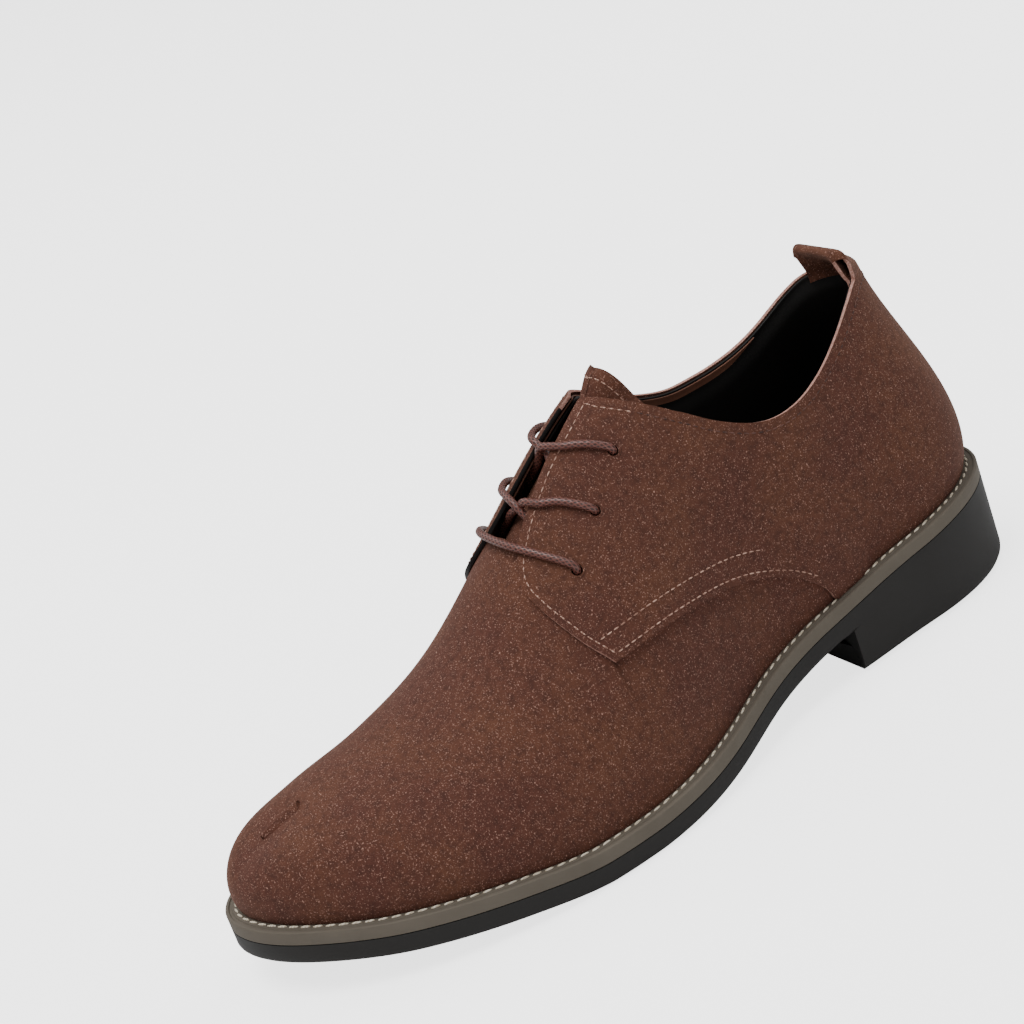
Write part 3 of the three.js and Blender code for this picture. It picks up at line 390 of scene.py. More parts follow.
outline = {
    1: outlineSide(sole["waistOuter"], sole["waistOuterReach"], sole["ballOuter"], sole["ballOuterReach"],
                   -sole["toeShift"], sole["toeRoundOuter"]),
    -1: outlineSide(sole["waistInner"], sole["waistInnerReach"], sole["ballInner"], sole["ballInnerReach"],
                    sole["toeShift"], sole["toeRoundInner"]),
}


# A place round the shoe is s: 0 at the back, up to 1 at the toe on the outer side, 2 down to 1 on the inner.
def sideOf(s):
    turn = np.mod(s, 2)
    return np.where(turn <= 1, 1, -1), np.where(turn <= 1, turn, 2 - turn)


def soleEdge(s, inset):
    side, u = sideOf(np.asarray(s, float))
    values = []
    for way in (1, -1):
        share, places, ways = outline[way]
        values.append([np.interp(u, share, column) for column in (*places.T, *ways.T)])
    x, y, wayX, wayY = [np.where(side > 0, outer, inner) for outer, inner in zip(*values)]
    return side * (x + wayY * inset), y - wayX * inset, -side * wayY, wayX


def shareAt(reach):
    share, places, _ = outline[1]
    return float(np.interp(reach, half - places[:, 1], share))


underside = [[-1, 23.3], [0, 23.3], [50, 19.8], [84, 15.5], [112, 10.5], [150, 2.9], [182, 0.1],
             [205, 0], [232, 3.2], [265, 7.2], [300, 11.9], [301, 11.9]]


def groundGap(reach):
    return np.maximum(0, keyed(underside, reach))


def soleTop(reach):
    return groundGap(reach) + sole["thickness"]


def weltTop(reach):
    return soleTop(reach) + fit + welt["thickness"]


def footBed(reach):
    return weltTop(reach) + fit


# Each station: reach; crown x, reach and height; rise, bulge on the outer and inner side, spread and drop.
stations = [
    (0, (0, 23.5, 118), 27, (9.4, 9.4), 2, 26),
    (14, (9, 31.4, 118), 25.5, (10.4, 10.4), 2, 26),
    (46, (13, 47.6, 120), 27, (6.7, 6.7), 4, 26),
    (84, (13, 84, 126), 28, (6, 6), 8, 20),
    (120, (0, 118, 122.5), 30, (4, 5), 19, 0),
    (150, (0, 146, 108.4), 32, (3, 5), 22, 0),
    (175, (0, 171, 89.4), 30, (3, 5), 24, 0),
    (205, (0, 200, 65.1), 25, (3.5, 4), 27, 0),
    (240, (0, 229, 51.8), 18.4, (4, 4), 26, 0),
    (272, (0, 251, 47.2), 18.5, (4, 4), 22, 0),
    (290, (0, 262.5, 45.3), 18.9, (4.5, 4.5), 18, 0),
    (300, (0, 266.3, 44.4), 14.8, (5, 5), 16, 0),
]
stationShare = [shareAt(station[0]) for station in stations]
ridgeStart = stationShare[4] - 0.02


def stationKeys(value, mirror=1):
    keys = [[share, value(station)] for share, station in zip(stationShare, stations)]
    return [[-keys[1][0], mirror * keys[1][1]]] + keys


form = {
    "crownX": stationKeys(lambda station: station[1][0], -1),
    "crownReach": stationKeys(lambda station: station[1][1]),
    "crownZ": stationKeys(lambda station: station[1][2]),
    "rise": stationKeys(lambda station: station[2]),
    "bulgeOuter": stationKeys(lambda station: station[3][0]),
    "bulgeInner": stationKeys(lambda station: station[3][1]),
    "spread": stationKeys(lambda station: station[4]),
    "drop": stationKeys(lambda station: station[5]),
}


def crownPoint(side, u):
    reach = keyed(form["crownReach"], u)
    bend = -0.8 * sole["toeShift"] * smoothstep(reach, 180, sole["length"])
    return np.stack([side * keyed(form["crownX"], u) + bend, half - reach, keyed(form["crownZ"], u)], -1)


def crownSlope(side, u):
    step = 0.01
    before = crownPoint(side, np.maximum(0, u - step))
    after = crownPoint(side, np.minimum(1, u + step))
    run = np.where(u < ridgeStart, 1, after[..., 1] - before[..., 1])
    return np.where(u < ridgeStart, 0, (after[..., 2] - before[..., 2]) / run)


# A point of the form: h is 0 at the edge of the foot bed and 1 on the crown line.
def formPoint(s, h):
    s, h = np.broadcast_arrays(np.asarray(s, float), np.asarray(h, float))
    side, u = sideOf(s)
    x, y, outX, outY = soleEdge(s, lastInset)
    foot = np.stack([x, y, footBed(half - y)], -1)
    crown = crownPoint(side, u)
    bulge = np.where(side > 0, keyed(form["bulgeOuter"], u), keyed(form["bulgeInner"], u))
    lower = foot + np.stack([outX * bulge, outY * bulge, keyed(form["rise"], u)], -1)
    away = foot[..., :2] - crown[..., :2]
    away = away / np.linalg.norm(away, axis=-1)[..., None]
    spread = keyed(form["spread"], u)
    upper = crown + np.stack([away[..., 0] * spread, away[..., 1] * spread,
                              away[..., 1] * spread * crownSlope(side, u) - keyed(form["drop"], u)], -1)
    h, k = h[..., None], 1 - h[..., None]
    return foot * k ** 3 + lower * 3 * k * k * h + upper * 3 * k * h * h + crown * h ** 3


def unit(vectors):
    return vectors / np.maximum(np.linalg.norm(vectors, axis=-1), 1e-9)[..., None]


def formNormal(s, h):
    s, h = np.broadcast_arrays(np.asarray(s, float), np.asarray(h, float))
    side, u = sideOf(s)
    step = 0.003
    around = formPoint(s + step, np.minimum(h, 0.999)) - formPoint(s - step, np.minimum(h, 0.999))
    climb = formPoint(s, np.minimum(0.999, h + step)) - formPoint(s, np.maximum(0, np.minimum(h, 0.999) - step))
    normal = unit(np.cross(climb, around))
    normal[..., 2] *= smoothstep(h, 0, 0.12)
    before = crownPoint(side, np.maximum(0, u - step))
    after = crownPoint(side, np.minimum(1, u + step))
    ridge = np.stack([0 * u, after[..., 2] - before[..., 2], before[..., 1] - after[..., 1]], -1)
    onRidge = ((h > 0.999) & (u > ridgeStart))[..., None]
    return unit(np.where(onRidge, ridge, normal))


# A place at a distance out from the form. Near the welt it keeps to the welt's own rise and fall.
def onForm(s, h, out):
    point = formPoint(s, h)
    place = point + formNormal(s, h) * np.asarray(out, float)[..., None]
    nearWelt = 1 - smoothstep(np.asarray(h, float), 0, 0.12)
    place[..., 2] += nearWelt * (footBed(half - place[..., 1]) - footBed(half - point[..., 1]))
    return place


# The lowest h at which a test of the form's point turns true.
def heightWhere(s, test):
    low, high = np.zeros(np.shape(s)), np.ones(np.shape(s))
    for _ in range(24):
        middle = (low + high) / 2
        above = test(formPoint(s, middle))
        high = np.where(above, middle, high)
        low = np.where(above, low, middle)
    return (low + high) / 2


# ---------- seam lines ----------

toplineOuter = [[20, 112], [33, 111], [38, 108], [48, 101.5], [62, 94.3], [74, 91.0], [85, 91.2],
                [101, 98.2], [114, 107.4], [125, 114.4], [136, 118.6], [150, 120]]
innerRise = {"height": 4.6, "from": 48, "peak": 82, "to": 125}
facingGap = [[128, 2.2], [140, 2.6], [150, 3.2], [164, 5.6], [177, 8.6]]
facingTopRound = 0.09
facingBack = 0.38


def toplineH(s):
    side = sideOf(s)[0]

    def above(point):
        reach = half - point[..., 1]
        hump = smoothstep(reach, innerRise["from"], innerRise["peak"])
        hump = hump * (1 - smoothstep(reach, innerRise["peak"], innerRise["to"]))
        return point[..., 2] > keyed(toplineOuter, reach) + np.where(side < 0, innerRise["height"] * hump, 0)

    return heightWhere(s, above)


def facingEdgeH(s):
    side, u = sideOf(s)
    crown = crownPoint(side, u)
    gap = keyed(facingGap, half - crown[..., 1])
    return heightWhere(s, lambda point: np.abs(point[..., 0] - crown[..., 0]) < gap)


def quarterTopH(s):
    collar, facing = toplineH(s), facingEdgeH(s)
    blend = np.maximum(facingTopRound - np.abs(collar - facing), 0) / facingTopRound
    joined = np.minimum(collar, facing) - blend * blend * facingTopRound * 0.25
    return np.where(sideOf(s)[1] < facingBack, collar, joined)


# A smooth curve through given points, with the same number of steps in each stretch.
def handCurve(points, steps):
    points = np.array(points, float)
    points = np.vstack([2 * points[0] - points[1], points, 2 * points[-1] - points[-2]])
    pull = np.linalg.norm(np.diff(points, axis=0), axis=1) ** 0.5
    t = np.linspace(0, 1, steps, endpoint=False)[:, None]
    rise = t * t * (3 - 2 * t)
    curve = []
    for i in range(1, len(points) - 2):
        p, q, r, e = points[i - 1:i + 3]
        a, b, c = pull[i - 1:i + 2]
        leave = ((q - p) / a - (r - p) / (a + b) + (r - q) / b) * b
        arrive = ((r - q) / b - (e - q) / (b + c) + (e - r) / c) * b
        curve.append(q * (1 - rise) + r * rise + leave * t * (1 - t) ** 2 - arrive * t * t * (1 - t))
    return np.vstack(curve + [points[-2:-1]])


swoosh = handCurve([[0.294, 0], [0.297, 0.04], [0.308, 0.105], [0.336, 0.191], [0.378, 0.257],
                    [0.459, 0.338], [0.525, 0.393], [0.553, 0.418]], 40)
quarterFront = handCurve([[0.553, 0.418], [0.567, 0.52], [0.575, 0.621], [0.579, 0.71], [0.578, 0.795],
                          [0.566, 0.866]], 40)
swooshStart = swoosh[0, 0]


def swooshH(u):
    return np.interp(u, swoosh[:, 0], swoosh[:, 1])


overlapEdge = {side: formPoint(side * np.vstack([swoosh, quarterFront])[::5, 0],
                               np.vstack([swoosh, quarterFront])[::5, 1]) for side in (1, -1)}


# How far the quarter stands out: it lies over the vamp near its lower edge, and over the facing lining.
def liftAt(s, h):
    side, u = sideOf(s)
    point = formPoint(s, h)
    edge = overlapEdge[1 if np.mean(side) > 0 else -1]
    nearest = np.full(point.shape[:-1], 1e9)
    for spot in edge:
        nearest = np.minimum(nearest, np.linalg.norm(point - spot, axis=-1))
    return overlapLift * np.maximum(1 - smoothstep(nearest, 11, 22), smoothstep(u, 0.3, 0.375))


# ---------- modelling helpers ----------

def choose(*pieces):   # these pieces alone are selected, and the first is active
    bpy.ops.object.select_all(action="DESELECT")
    for piece in pieces:
        piece.select_set(True)
    bpy.context.view_layer.objects.active = pieces[0]


def toFrame(places):
    return (places - np.array([centreX, 0, 0])) * mm


# A flat grid, each point of which is moved to its own place. Its faces look along outward.
def laySheet(name, places, outward):
    around = np.gradient(places, axis=0)
    climb = np.gradient(places, axis=1)
    if np.mean(np.sum(np.cross(climb, around) * outward, -1)) < 0:
        places = places[::-1]
    columns, rows = places.shape[:2]
    bpy.ops.object.select_all(action="DESELECT")
    bpy.ops.mesh.primitive_grid_add(x_subdivisions=rows - 1, y_subdivisions=columns - 1, size=1)
    piece = bpy.context.active_object
    piece.name = name
    piece.data.name = name
    piece.data.vertices.foreach_set("co", toFrame(places).ravel())
    piece.data.update()
    return piece


def weld(piece, distance=0.02, recalculate=False):
    choose(piece)
    bpy.ops.object.mode_set(mode="EDIT")
    bpy.ops.mesh.select_all(action="SELECT")
    bpy.ops.mesh.remove_doubles(threshold=distance * mm)
    if recalculate:
        bpy.ops.mesh.normals_make_consistent(inside=False)
    bpy.ops.object.mode_set(mode="OBJECT")


def modify(piece, kind, **settings):   # adds one modifier and applies it
    choose(piece)
    modifier = piece.modifiers.new(kind, kind)
    for name, value in settings.items():
        setattr(modifier, name, value)
    bpy.ops.object.modifier_apply(modifier=modifier.name)


# A leather sheet gets its thickness inwards, a raw rim, softened edges and its finishes.
def makeLeather(piece, thickness, face, rim, edge=0.25):
    piece.data.materials.append(finish[face])
    piece.data.materials.append(finish[rim])
    modify(piece, "SOLIDIFY", thickness=thickness * mm, offset=-1, material_offset_rim=1)
    modify(piece, "BEVEL", width=edge * mm, segments=2, limit_method="ANGLE", angle_limit=math.radians(50))
    choose(piece)
    bpy.ops.object.shade_smooth_by_angle(angle=math.radians(50))


def wear(piece, body, slotName, *nodes):   # rides on a body and stands for CAD nodes
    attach(piece, body)
    if nodes:
        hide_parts(*nodes)


# Copies of one small shape, each turned and moved by its own frame, as one mesh.
def scatter(name, pattern, places, axes):
    corner = np.array([v.co for v in pattern.data.vertices])
    faces = [tuple(face.vertices) for face in pattern.data.polygons]
    moved = np.einsum("nij,kj->nki", axes, corner) + places[:, None, :]
    mesh = bpy.data.meshes.new(name)
    mesh.from_pydata(moved.reshape(-1, 3).tolist(), [],
                     [tuple(v + i * len(corner) for v in face) for i in range(len(places)) for face in faces])
    piece = bpy.data.objects.new(name, mesh)
    bpy.context.scene.collection.objects.link(piece)
    bpy.data.objects.remove(pattern)
    choose(piece)
    bpy.ops.object.shade_smooth()
    return piece


# Even steps along a line of points; returns places, directions and normals at the middle of each.
def evenSteps(points, normals, spacing):
    run = np.concatenate([[0], np.cumsum(np.linalg.norm(np.diff(points, axis=0), axis=1))])
    count = max(1, int(run[-1] / spacing))
    at = (np.arange(count) + 0.5) * run[-1] / count
    place = np.stack([np.interp(at, run, column) for column in points.T], -1)
    ahead = np.stack([np.interp(at + 0.4 * spacing, run, column) for column in points.T], -1)
    behind = np.stack([np.interp(at - 0.4 * spacing, run, column) for column in points.T], -1)
    normal = np.stack([np.interp(at, run, column) for column in normals.T], -1)
    return place, unit(ahead - behind), unit(normal)


def frameAxes(way, normal):   # columns: along the stitch, across it, away from the leather
    side = unit(np.cross(normal, way))
    return np.stack([way, side, np.cross(way, side)], -1)


# One stitch: a bead drawn out along the row and flattened on the leather.
def stitchBead(length, width, height):
    bpy.ops.object.select_all(action="DESELECT")
    bpy.ops.mesh.primitive_uv_sphere_add(segments=8, ring_count=5, radius=0.5)
    bead = bpy.context.active_object
    bpy.ops.object.mode_set(mode="EDIT")
    bpy.ops.transform.rotate(value=math.pi / 2, orient_axis="Y", center_override=(0, 0, 0))
    bpy.ops.transform.resize(value=(length * mm, width * mm, height * mm))
    bpy.ops.object.mode_set(mode="OBJECT")
    return bead


def sew(name, rows, spec):
    steps = [evenSteps(points, normals, spec["pitch"]) for points, normals in rows]
    places, ways, normals = [np.vstack([step[k] for step in steps]) for k in range(3)]
    bead = stitchBead(spec["length"], spec["width"], spec["height"])
    across = unit(np.cross(normals, ways))
    ways = ways * math.cos(spec["slant"]) + across * math.sin(spec["slant"])
    return scatter(name, bead, toFrame(places), frameAxes(ways, normals))


# ---------- lace ----------

lace = {"radius": 1.3, "sides": 36, "step": 0.3, "strands": 6, "relief": 0.12, "lay": 1.0}
over = layer["upper"][1] + overlapLift + fit + lace["radius"]
under = (layer["tongue"][1] + 1.1 + overlapLift) / 2
crossing = lace["radius"] + fit / 2

# One half of the lace from the middle of the lowest bar to its tucked end: side, share, h and distance out.
laceRoute = [
    [1, 0.5625, 0.93, over], [1, 0.558, 0.86, over], [1, 0.55, 0.78, over], [1, 0.541, 0.71, over],
    [1, 0.536, 0.671, 6.6], [1, 0.536, 0.66, 4.6], [1, 0.536, 0.66, 2.9], [1, 0.5365, 0.666, 1.2],
    [1, 0.539, 0.7, under], [1, 0.541, 0.78, under], [1, 0.541, 0.86, under], [1, 0.539, 0.93, 2],
    [0, 0.535, 1, 4.5], [-1, 0.53, 0.94, 6.6],
    [-1, 0.524, 0.88, over], [-1, 0.513, 0.82, over], [-1, 0.503, 0.76, over],
    [-1, 0.495, 0.714, 6.6], [-1, 0.493, 0.702, 4.6], [-1, 0.493, 0.702, 2.9], [-1, 0.4935, 0.708, 1.2],
    [-1, 0.496, 0.745, under], [-1, 0.499, 0.81, under], [-1, 0.499, 0.89, under], [-1, 0.496, 0.95, 2.2],
    [0, 0.491, 1, 4.5], [1, 0.486, 0.95, 6.6],
    [1, 0.48, 0.905, over], [1, 0.469, 0.855, over], [1, 0.458, 0.805, over],
    [1, 0.449, 0.763, 6.6], [1, 0.447, 0.75, 4.6], [1, 0.447, 0.75, 2.9], [1, 0.448, 0.744, 1.2],
    [1, 0.454, 0.706, under], [1, 0.468, 0.67, under], [1, 0.485, 0.643, under], [1, 0.502, 0.626, under],
    [1, 0.519, 0.614, under],
]


def lacePoints(side):
    points = []
    for way, u, h, out in laceRoute:
        s = -side * u if way < 0 else side * u
        points.append(onForm(np.array(s), np.array(h), np.array(out + side * crossing if way == 0 else out)))
    return points


# The frame is carried along the line without twist, so the braid doesn't spin where the lace turns.
def carriedFrames(points):
    ways = unit(np.gradient(points, axis=0))
    side = unit(np.cross(ways[0], [0, 0, 1.0]))
    sides = []
    for way in ways:
        side = side - way * np.dot(side, way)
        side = side / np.linalg.norm(side)
        sides.append(side)
    sides = np.array(sides)
    return sides, np.cross(ways, sides)


def makeLace():
    dense = handCurve(lacePoints(1)[::-1] + lacePoints(-1), 60)
    run = np.concatenate([[0], np.cumsum(np.linalg.norm(np.diff(dense, axis=0), axis=1))])
    print("stage: lace,", round(float(run[-1]), 1), "mm along its route")
    at = np.linspace(0, run[-1], int(run[-1] / lace["step"]))
    line = np.stack([np.interp(at, run, column) for column in dense.T], -1)
    sides, ups = carriedFrames(line)
    angle = np.linspace(0, 2 * np.pi, lace["sides"], endpoint=False)
    turn, along = np.meshgrid(angle, at / lace["lay"] * np.pi)
    weave = np.maximum(np.cos(lace["strands"] * turn + along), np.cos(lace["strands"] * turn - along))
    height = np.clip(weave, 0, 1)
    ends = np.minimum(1, np.minimum(np.arange(len(at)), np.arange(len(at))[::-1]) / 3)[:, None]
    radius = ends * (lace["radius"] - lace["relief"] * (1 - height))
    ring = np.cos(turn)[..., None] * sides[:, None] + np.sin(turn)[..., None] * ups[:, None]
    places = line[:, None] + radius[..., None] * ring
    closed = np.concatenate([places, places[:, :1]], axis=1)
    outward = np.concatenate([ring, ring[:, :1]], axis=1)
    piece = laySheet("lace_braid", closed, outward)
    strand = np.concatenate([height, height[:, :1]], axis=1)
    if not np.allclose(piece.data.vertices[0].co, toFrame(closed[0, 0]), atol=1e-6):
        strand = strand[::-1]
    attribute = piece.data.attributes.new("strandHeight", "FLOAT", "POINT")
    attribute.data.foreach_set("value", strand.ravel().astype(np.float32))
    weld(piece, 0.004)
    choose(piece)
    bpy.ops.object.shade_smooth()
    piece.data.materials.append(finish["lace_cord"])
    wear(piece, "shoe", "lace_cord", "lace")


# ---------- upper ----------

upper = {"thickness": 1.3, "liningThickness": 0.8, "topLimit": 0.97, "backGap": 0.0004}
throat = (0.548, 0.56)
vampBack = swooshStart - 0.022
wingUnder = 0.05
toeSmooth = {"reach": 215.0, "core": 14.0, "edge": 30.0, "blur": 7.0, "times": 2}
bottomSit = 0.3


def closerAtTop(t):
    return t * (1.4 - 0.4 * t)


def vampTopH(s):
    u = sideOf(s)[1]
    wing = swooshH(np.minimum(u, throat[0])) + wingUnder
    return wing + (1 - wing) * smoothstep(u, *throat)


def toeShares(start, count):   # shares from one wing round the toe to the other, closer together at the toe
    one = np.linspace(start, 1, count)
    return np.concatenate([one, (2 - one[:-1])[::-1]])


def onRows(shares, rows, bottom, top, out):
    level = closerAtTop(np.linspace(0, 1, rows))[None, :]
    s = np.broadcast_to(shares[:, None], (len(shares), rows))
    low, high = bottom(shares)[:, None], top(shares)[:, None]
    h = low + (high - low) * level
    return sitDown(onForm(s, h, np.full(h.shape, out)), h), formNormal(s, h)


def sitDown(places, h):   # the lasting edge is pressed down onto the welt
    places[..., 2] -= bottomSit * (1 - smoothstep(h, 0, 0.03))
    return places


# The leather is drawn over the toe in one even curve. Each place near the ridge of the toe goes to the mean
# of the leather round it, weighed by area, and then as far out again as that mean lies inside.
def evenToe(places):
    tall = np.linalg.norm(np.gradient(places, axis=0), axis=-1)
    wide = np.linalg.norm(np.gradient(places, axis=1), axis=-1)
    area = (tall * wide + 1e-6).ravel()
    flat = places.reshape(-1, 3).copy()
    reach = half - flat[:, 1]
    crown = crownPoint(1, np.linspace(0.6, 1, 300))
    crown[:, 2] += layer["upper"][1]
    apart = np.full(len(flat), 1e9)
    for spot in crown[::4]:
        apart = np.minimum(apart, np.linalg.norm(flat - spot, axis=-1))
    share = 1 - smoothstep(apart, toeSmooth["core"], toeSmooth["edge"])
    share *= smoothstep(reach, toeSmooth["reach"] - 25, toeSmooth["reach"])
    moved = np.nonzero(share > 0)[0]
    round_ = np.nonzero(apart < toeSmooth["edge"] + 2.5 * toeSmooth["blur"])[0]

    def mean():
        result = flat[moved].copy()
        for start in range(0, len(moved), 400):
            part = moved[start:start + 400]
            gap = ((flat[part][:, None] - flat[round_][None]) ** 2).sum(-1)
            weight = np.exp(-gap / (2 * (toeSmooth["blur"] / 2) ** 2)) * area[round_]
            result[start:start + 400] = weight @ flat[round_] / weight.sum(1)[:, None]
        return result

    for _ in range(toeSmooth["times"]):
        before = flat[moved].copy()
        blurred = mean()
        flat[moved] = before + (blurred - before) * share[moved][:, None]
        again = mean()
        flat[moved] += (flat[moved] - again) * share[moved][:, None] * 0.9
    even = flat.reshape(places.shape)
    even[:, -1] = (even[:, -1] + even[::-1, -1]) / 2   # both sides share the places along the ridge
    return even


def makeVamp():
    shares = toeShares(vampBack, 150)
    places, normals = onRows(shares, 80, lambda s: 0 * s, vampTopH, layer["upper"][1])
    piece = laySheet("vamp_leather", evenToe(places), normals)
    weld(piece, 0.003)
    makeLeather(piece, upper["thickness"], "upper_leather", "raw_edge")
    wear(piece, "shoe", "upper_leather", "vamp")


def makeVampLining():
    shares = toeShares(0.5, 90)
    places, normals = onRows(shares, 50, lambda s: 0 * s, lambda s: np.where(vampTopH(s) < 1, vampTopH(s) - 0.012, 1),
                             layer["lining"][1])
    piece = laySheet("vamp_lining_leather", places, normals)
    weld(piece, 0.05)
    makeLeather(piece, upper["liningThickness"], "black_lining", "black_lining", 0.15)
    wear(piece, "shoe", "black_lining", "vamp_lining")


quarterTop = {}
for way in (1, -1):
    tableU = np.linspace(0, quarterFront[-1, 0], 500)
    quarterTop[way] = (tableU, np.minimum(quarterTopH(way * tableU), upper["topLimit"]))


# A place on the quarter's four-sided patch: a runs from the back seam to the front edge, b from the welt and
# the curved lower edge up to the collar and the facing.
def quarterPlace(side, a, b):
    a, b = np.broadcast_arrays(np.asarray(a, float), np.asarray(b, float))
    back = upper["backGap"]
    front, corner = quarterFront[-1], quarterFront[0]
    lowU = back + (corner[0] - back) * a
    lowH = np.where(lowU < swooshStart, 0, swooshH(lowU))
    topU = back + (front[0] - back) * a
    topH = np.interp(topU, *quarterTop[side])
    topH = topH + (front[1] - topH) * smoothstep(a, 0.985, 1)
    run = np.linspace(0, 1, len(quarterFront))
    edgeU, edgeH = np.interp(b, run, quarterFront[:, 0]), np.interp(b, run, quarterFront[:, 1])
    u = lowU + (topU - lowU) * b + a ** 3 * (edgeU - corner[0] - (front[0] - corner[0]) * b)
    h = lowH + (topH - lowH) * b + a ** 3 * (edgeH - corner[1] - (front[1] - corner[1]) * b)
    return side * u, h


def onQuarter(side, a, b, out):
    s, h = quarterPlace(side, a, b)
    return sitDown(onForm(s, h, out + liftAt(s, h)), h), formNormal(s, h)


eyeletSpots = [[0.536, 0.66], [0.493, 0.702], [0.447, 0.75]]
hole = {"radius": 1.75, "rim": 0.42}
paintedShadeFacingReach = 12.0   # the inner facing's cut edge is painted black as far back as this, as painted shade


def eyeletPlace(side, spot, out):
    s, h = np.array(side * spot[0]), np.array(spot[1])
    return Vector(toFrame(onForm(s, h, np.array(out)))), Vector(formNormal(s, h))


def punchHoles(piece, side):
    drills = []
    for spot in eyeletSpots:
        place, normal = eyeletPlace(side, spot, layer["upper"][1] + overlapLift)
        bpy.ops.object.select_all(action="DESELECT")
        bpy.ops.mesh.primitive_cylinder_add(vertices=32, radius=hole["radius"] * mm, depth=8 * mm,
                                            location=place, rotation=normal.to_track_quat("Z", "Y").to_euler())
        drills.append(bpy.context.active_object)
    choose(*drills)
    bpy.ops.object.join()
    drill = bpy.context.active_object
    drill.data.materials.append(finish["raw_edge"])
    modify(piece, "BOOLEAN", operation="DIFFERENCE", object=drill, solver="EXACT")
    bpy.data.objects.remove(drill)


# The leather is pressed up a little round each punched hole.
def makeHoleRims(name, side):
    rims = []
    for spot in eyeletSpots:
        place, normal = eyeletPlace(side, spot, layer["upper"][1] + overlapLift - 0.12)
        bpy.ops.object.select_all(action="DESELECT")
        bpy.ops.mesh.primitive_torus_add(major_segments=40, minor_segments=10,
                                         major_radius=(hole["radius"] + hole["rim"]) * mm,
                                         minor_radius=hole["rim"] * mm, location=place,
                                         rotation=normal.to_track_quat("Z", "Y").to_euler())
        rims.append(bpy.context.active_object)
    choose(*rims)
    bpy.ops.object.join()
    bpy.ops.object.transform_apply(location=True, rotation=True, scale=True)
    rim = bpy.context.active_object
    rim.name = "hole_rims_" + name
    bpy.ops.object.shade_smooth()
    rim.data.materials.append(finish["upper_leather"])
    wear(rim, "shoe", "upper_leather")


def makeQuarter(name, side):
    a = np.linspace(0, 1, 170)[:, None]
    b = closerAtTop(np.linspace(0, 1, 84))[None, :]
    places, normals = onQuarter(side, a, b, layer["upper"][1])
    piece = laySheet("quarter_leather_" + name, places, normals)
    piece.data.materials.append(finish["upper_leather"])
    piece.data.materials.append(finish["raw_edge"])
    piece.data.materials.append(finish["black_lining"])
    modify(piece, "SOLIDIFY", thickness=upper["thickness"] * mm, offset=-1, material_offset_rim=1)
    # painted shade: on the inner quarter the cut rim forward of that reach takes the black lining finish, since the
    # facing edge lies in shade
    for face in piece.data.polygons:
        if side < 0 and face.material_index == 1 and face.center.y < paintedShadeFacingReach * mm:
            face.material_index = 2
    punchHoles(piece, side)
    modify(piece, "BEVEL", width=0.25 * mm, segments=2, limit_method="ANGLE", angle_limit=math.radians(50))
    choose(piece)
    bpy.ops.object.shade_smooth_by_angle(angle=math.radians(50))
    wear(piece, "shoe", "upper_leather", "quarter_" + name)
    makeHoleRims(name, side)


# ---------- upper stitching ----------

seam = {"edge": 2.2, "second": 8.6, "collar": 3.2, "darkFrom": 0.72}
upperStitch = {"pitch": 2.6, "length": 1.95, "width": 0.5, "height": 0.36, "slant": 0.0}


# Steps in a and b that go a distance in from an edge of the patch.
def stepsIn(side, a, b, distance):
    step = 0.01
    ahead = onQuarter(side, np.minimum(a + step, 1), b, 3.7)[0] - onQuarter(side, np.maximum(a - step, 0), b, 3.7)[0]
    above = onQuarter(side, a, np.minimum(b + step, 1), 3.7)[0] - onQuarter(side, a, np.maximum(b - step, 0), 3.7)[0]
    ahead = ahead / (np.minimum(a + step, 1) - np.maximum(a - step, 0))[:, None]
    above = above / (np.minimum(b + step, 1) - np.maximum(b - step, 0))[:, None]
    area = np.linalg.norm(np.cross(ahead, above), axis=-1)
    inA = distance * np.linalg.norm(above, axis=-1) / area
    inB = distance * np.linalg.norm(ahead, axis=-1) / area
    return inA, inB


def quarterRows(side):
    whole = np.linspace(0, 1, 220)
    swooshFrom = (swooshStart - upper["backGap"]) / (quarterFront[0, 0] - upper["backGap"])
    low = np.linspace(swooshFrom + 0.02, 1, 160)
    frontIn = stepsIn(side, 0 * whole + 1, whole, seam["edge"])[0]
    topIn = stepsIn(side, whole, 0 * whole + 1, seam["collar"])[1]
    edgeIn = stepsIn(side, low, 0 * low, seam["edge"])[1]
    secondIn = stepsIn(side, low, 0 * low, seam["second"])[1]
    # the first row: along the curved edge, up the front edge and back along the collar
    keep = low < 1 - frontIn[0]
    lowA, lowB = low[keep], edgeIn[keep]
    rowStart = 1 - frontIn[-1] * 1.6
    upB = whole[(whole > lowB[-1]) & (whole < 1 - np.interp(rowStart, whole, topIn) * 1.4)]
    upA = 1 - np.interp(upB, whole, frontIn)
    backA = whole[::-1]
    backA = backA[backA < rowStart]
    backB = 1 - np.interp(backA, whole, topIn)
    pale = backA > seam["darkFrom"]
    fade = (low > swooshFrom + 0.1) & keep
    rows = [(lowA, lowB), (low[fade], secondIn[fade]),
            (np.concatenate([upA, backA[pale]]), np.concatenate([upB, backB[pale]])),
            (backA[~pale], backB[~pale])]
    return [onQuarter(side, a, b, layer["upper"][1] + 0.06) for a, b in rows]


def makeUpperStitching():
    outer, inner = quarterRows(1), quarterRows(-1)
    for name, rows in (("upper", outer[:3] + inner[:3]), ("collar", outer[3:] + inner[3:])):
        piece = sew(name + "_stitching", rows, upperStitch)
        piece.data.materials.append(finish[name + "_thread"])
        wear(piece, "shoe", "upper_leather")


# ---------- tongue ----------

tongue = {"top": 0.408, "front": 0.575, "side": 0.62, "sweep": 0.085, "sweepLength": 0.15, "row": 0.0105,
          "stand": 7.0, "standFrom": 0.46}


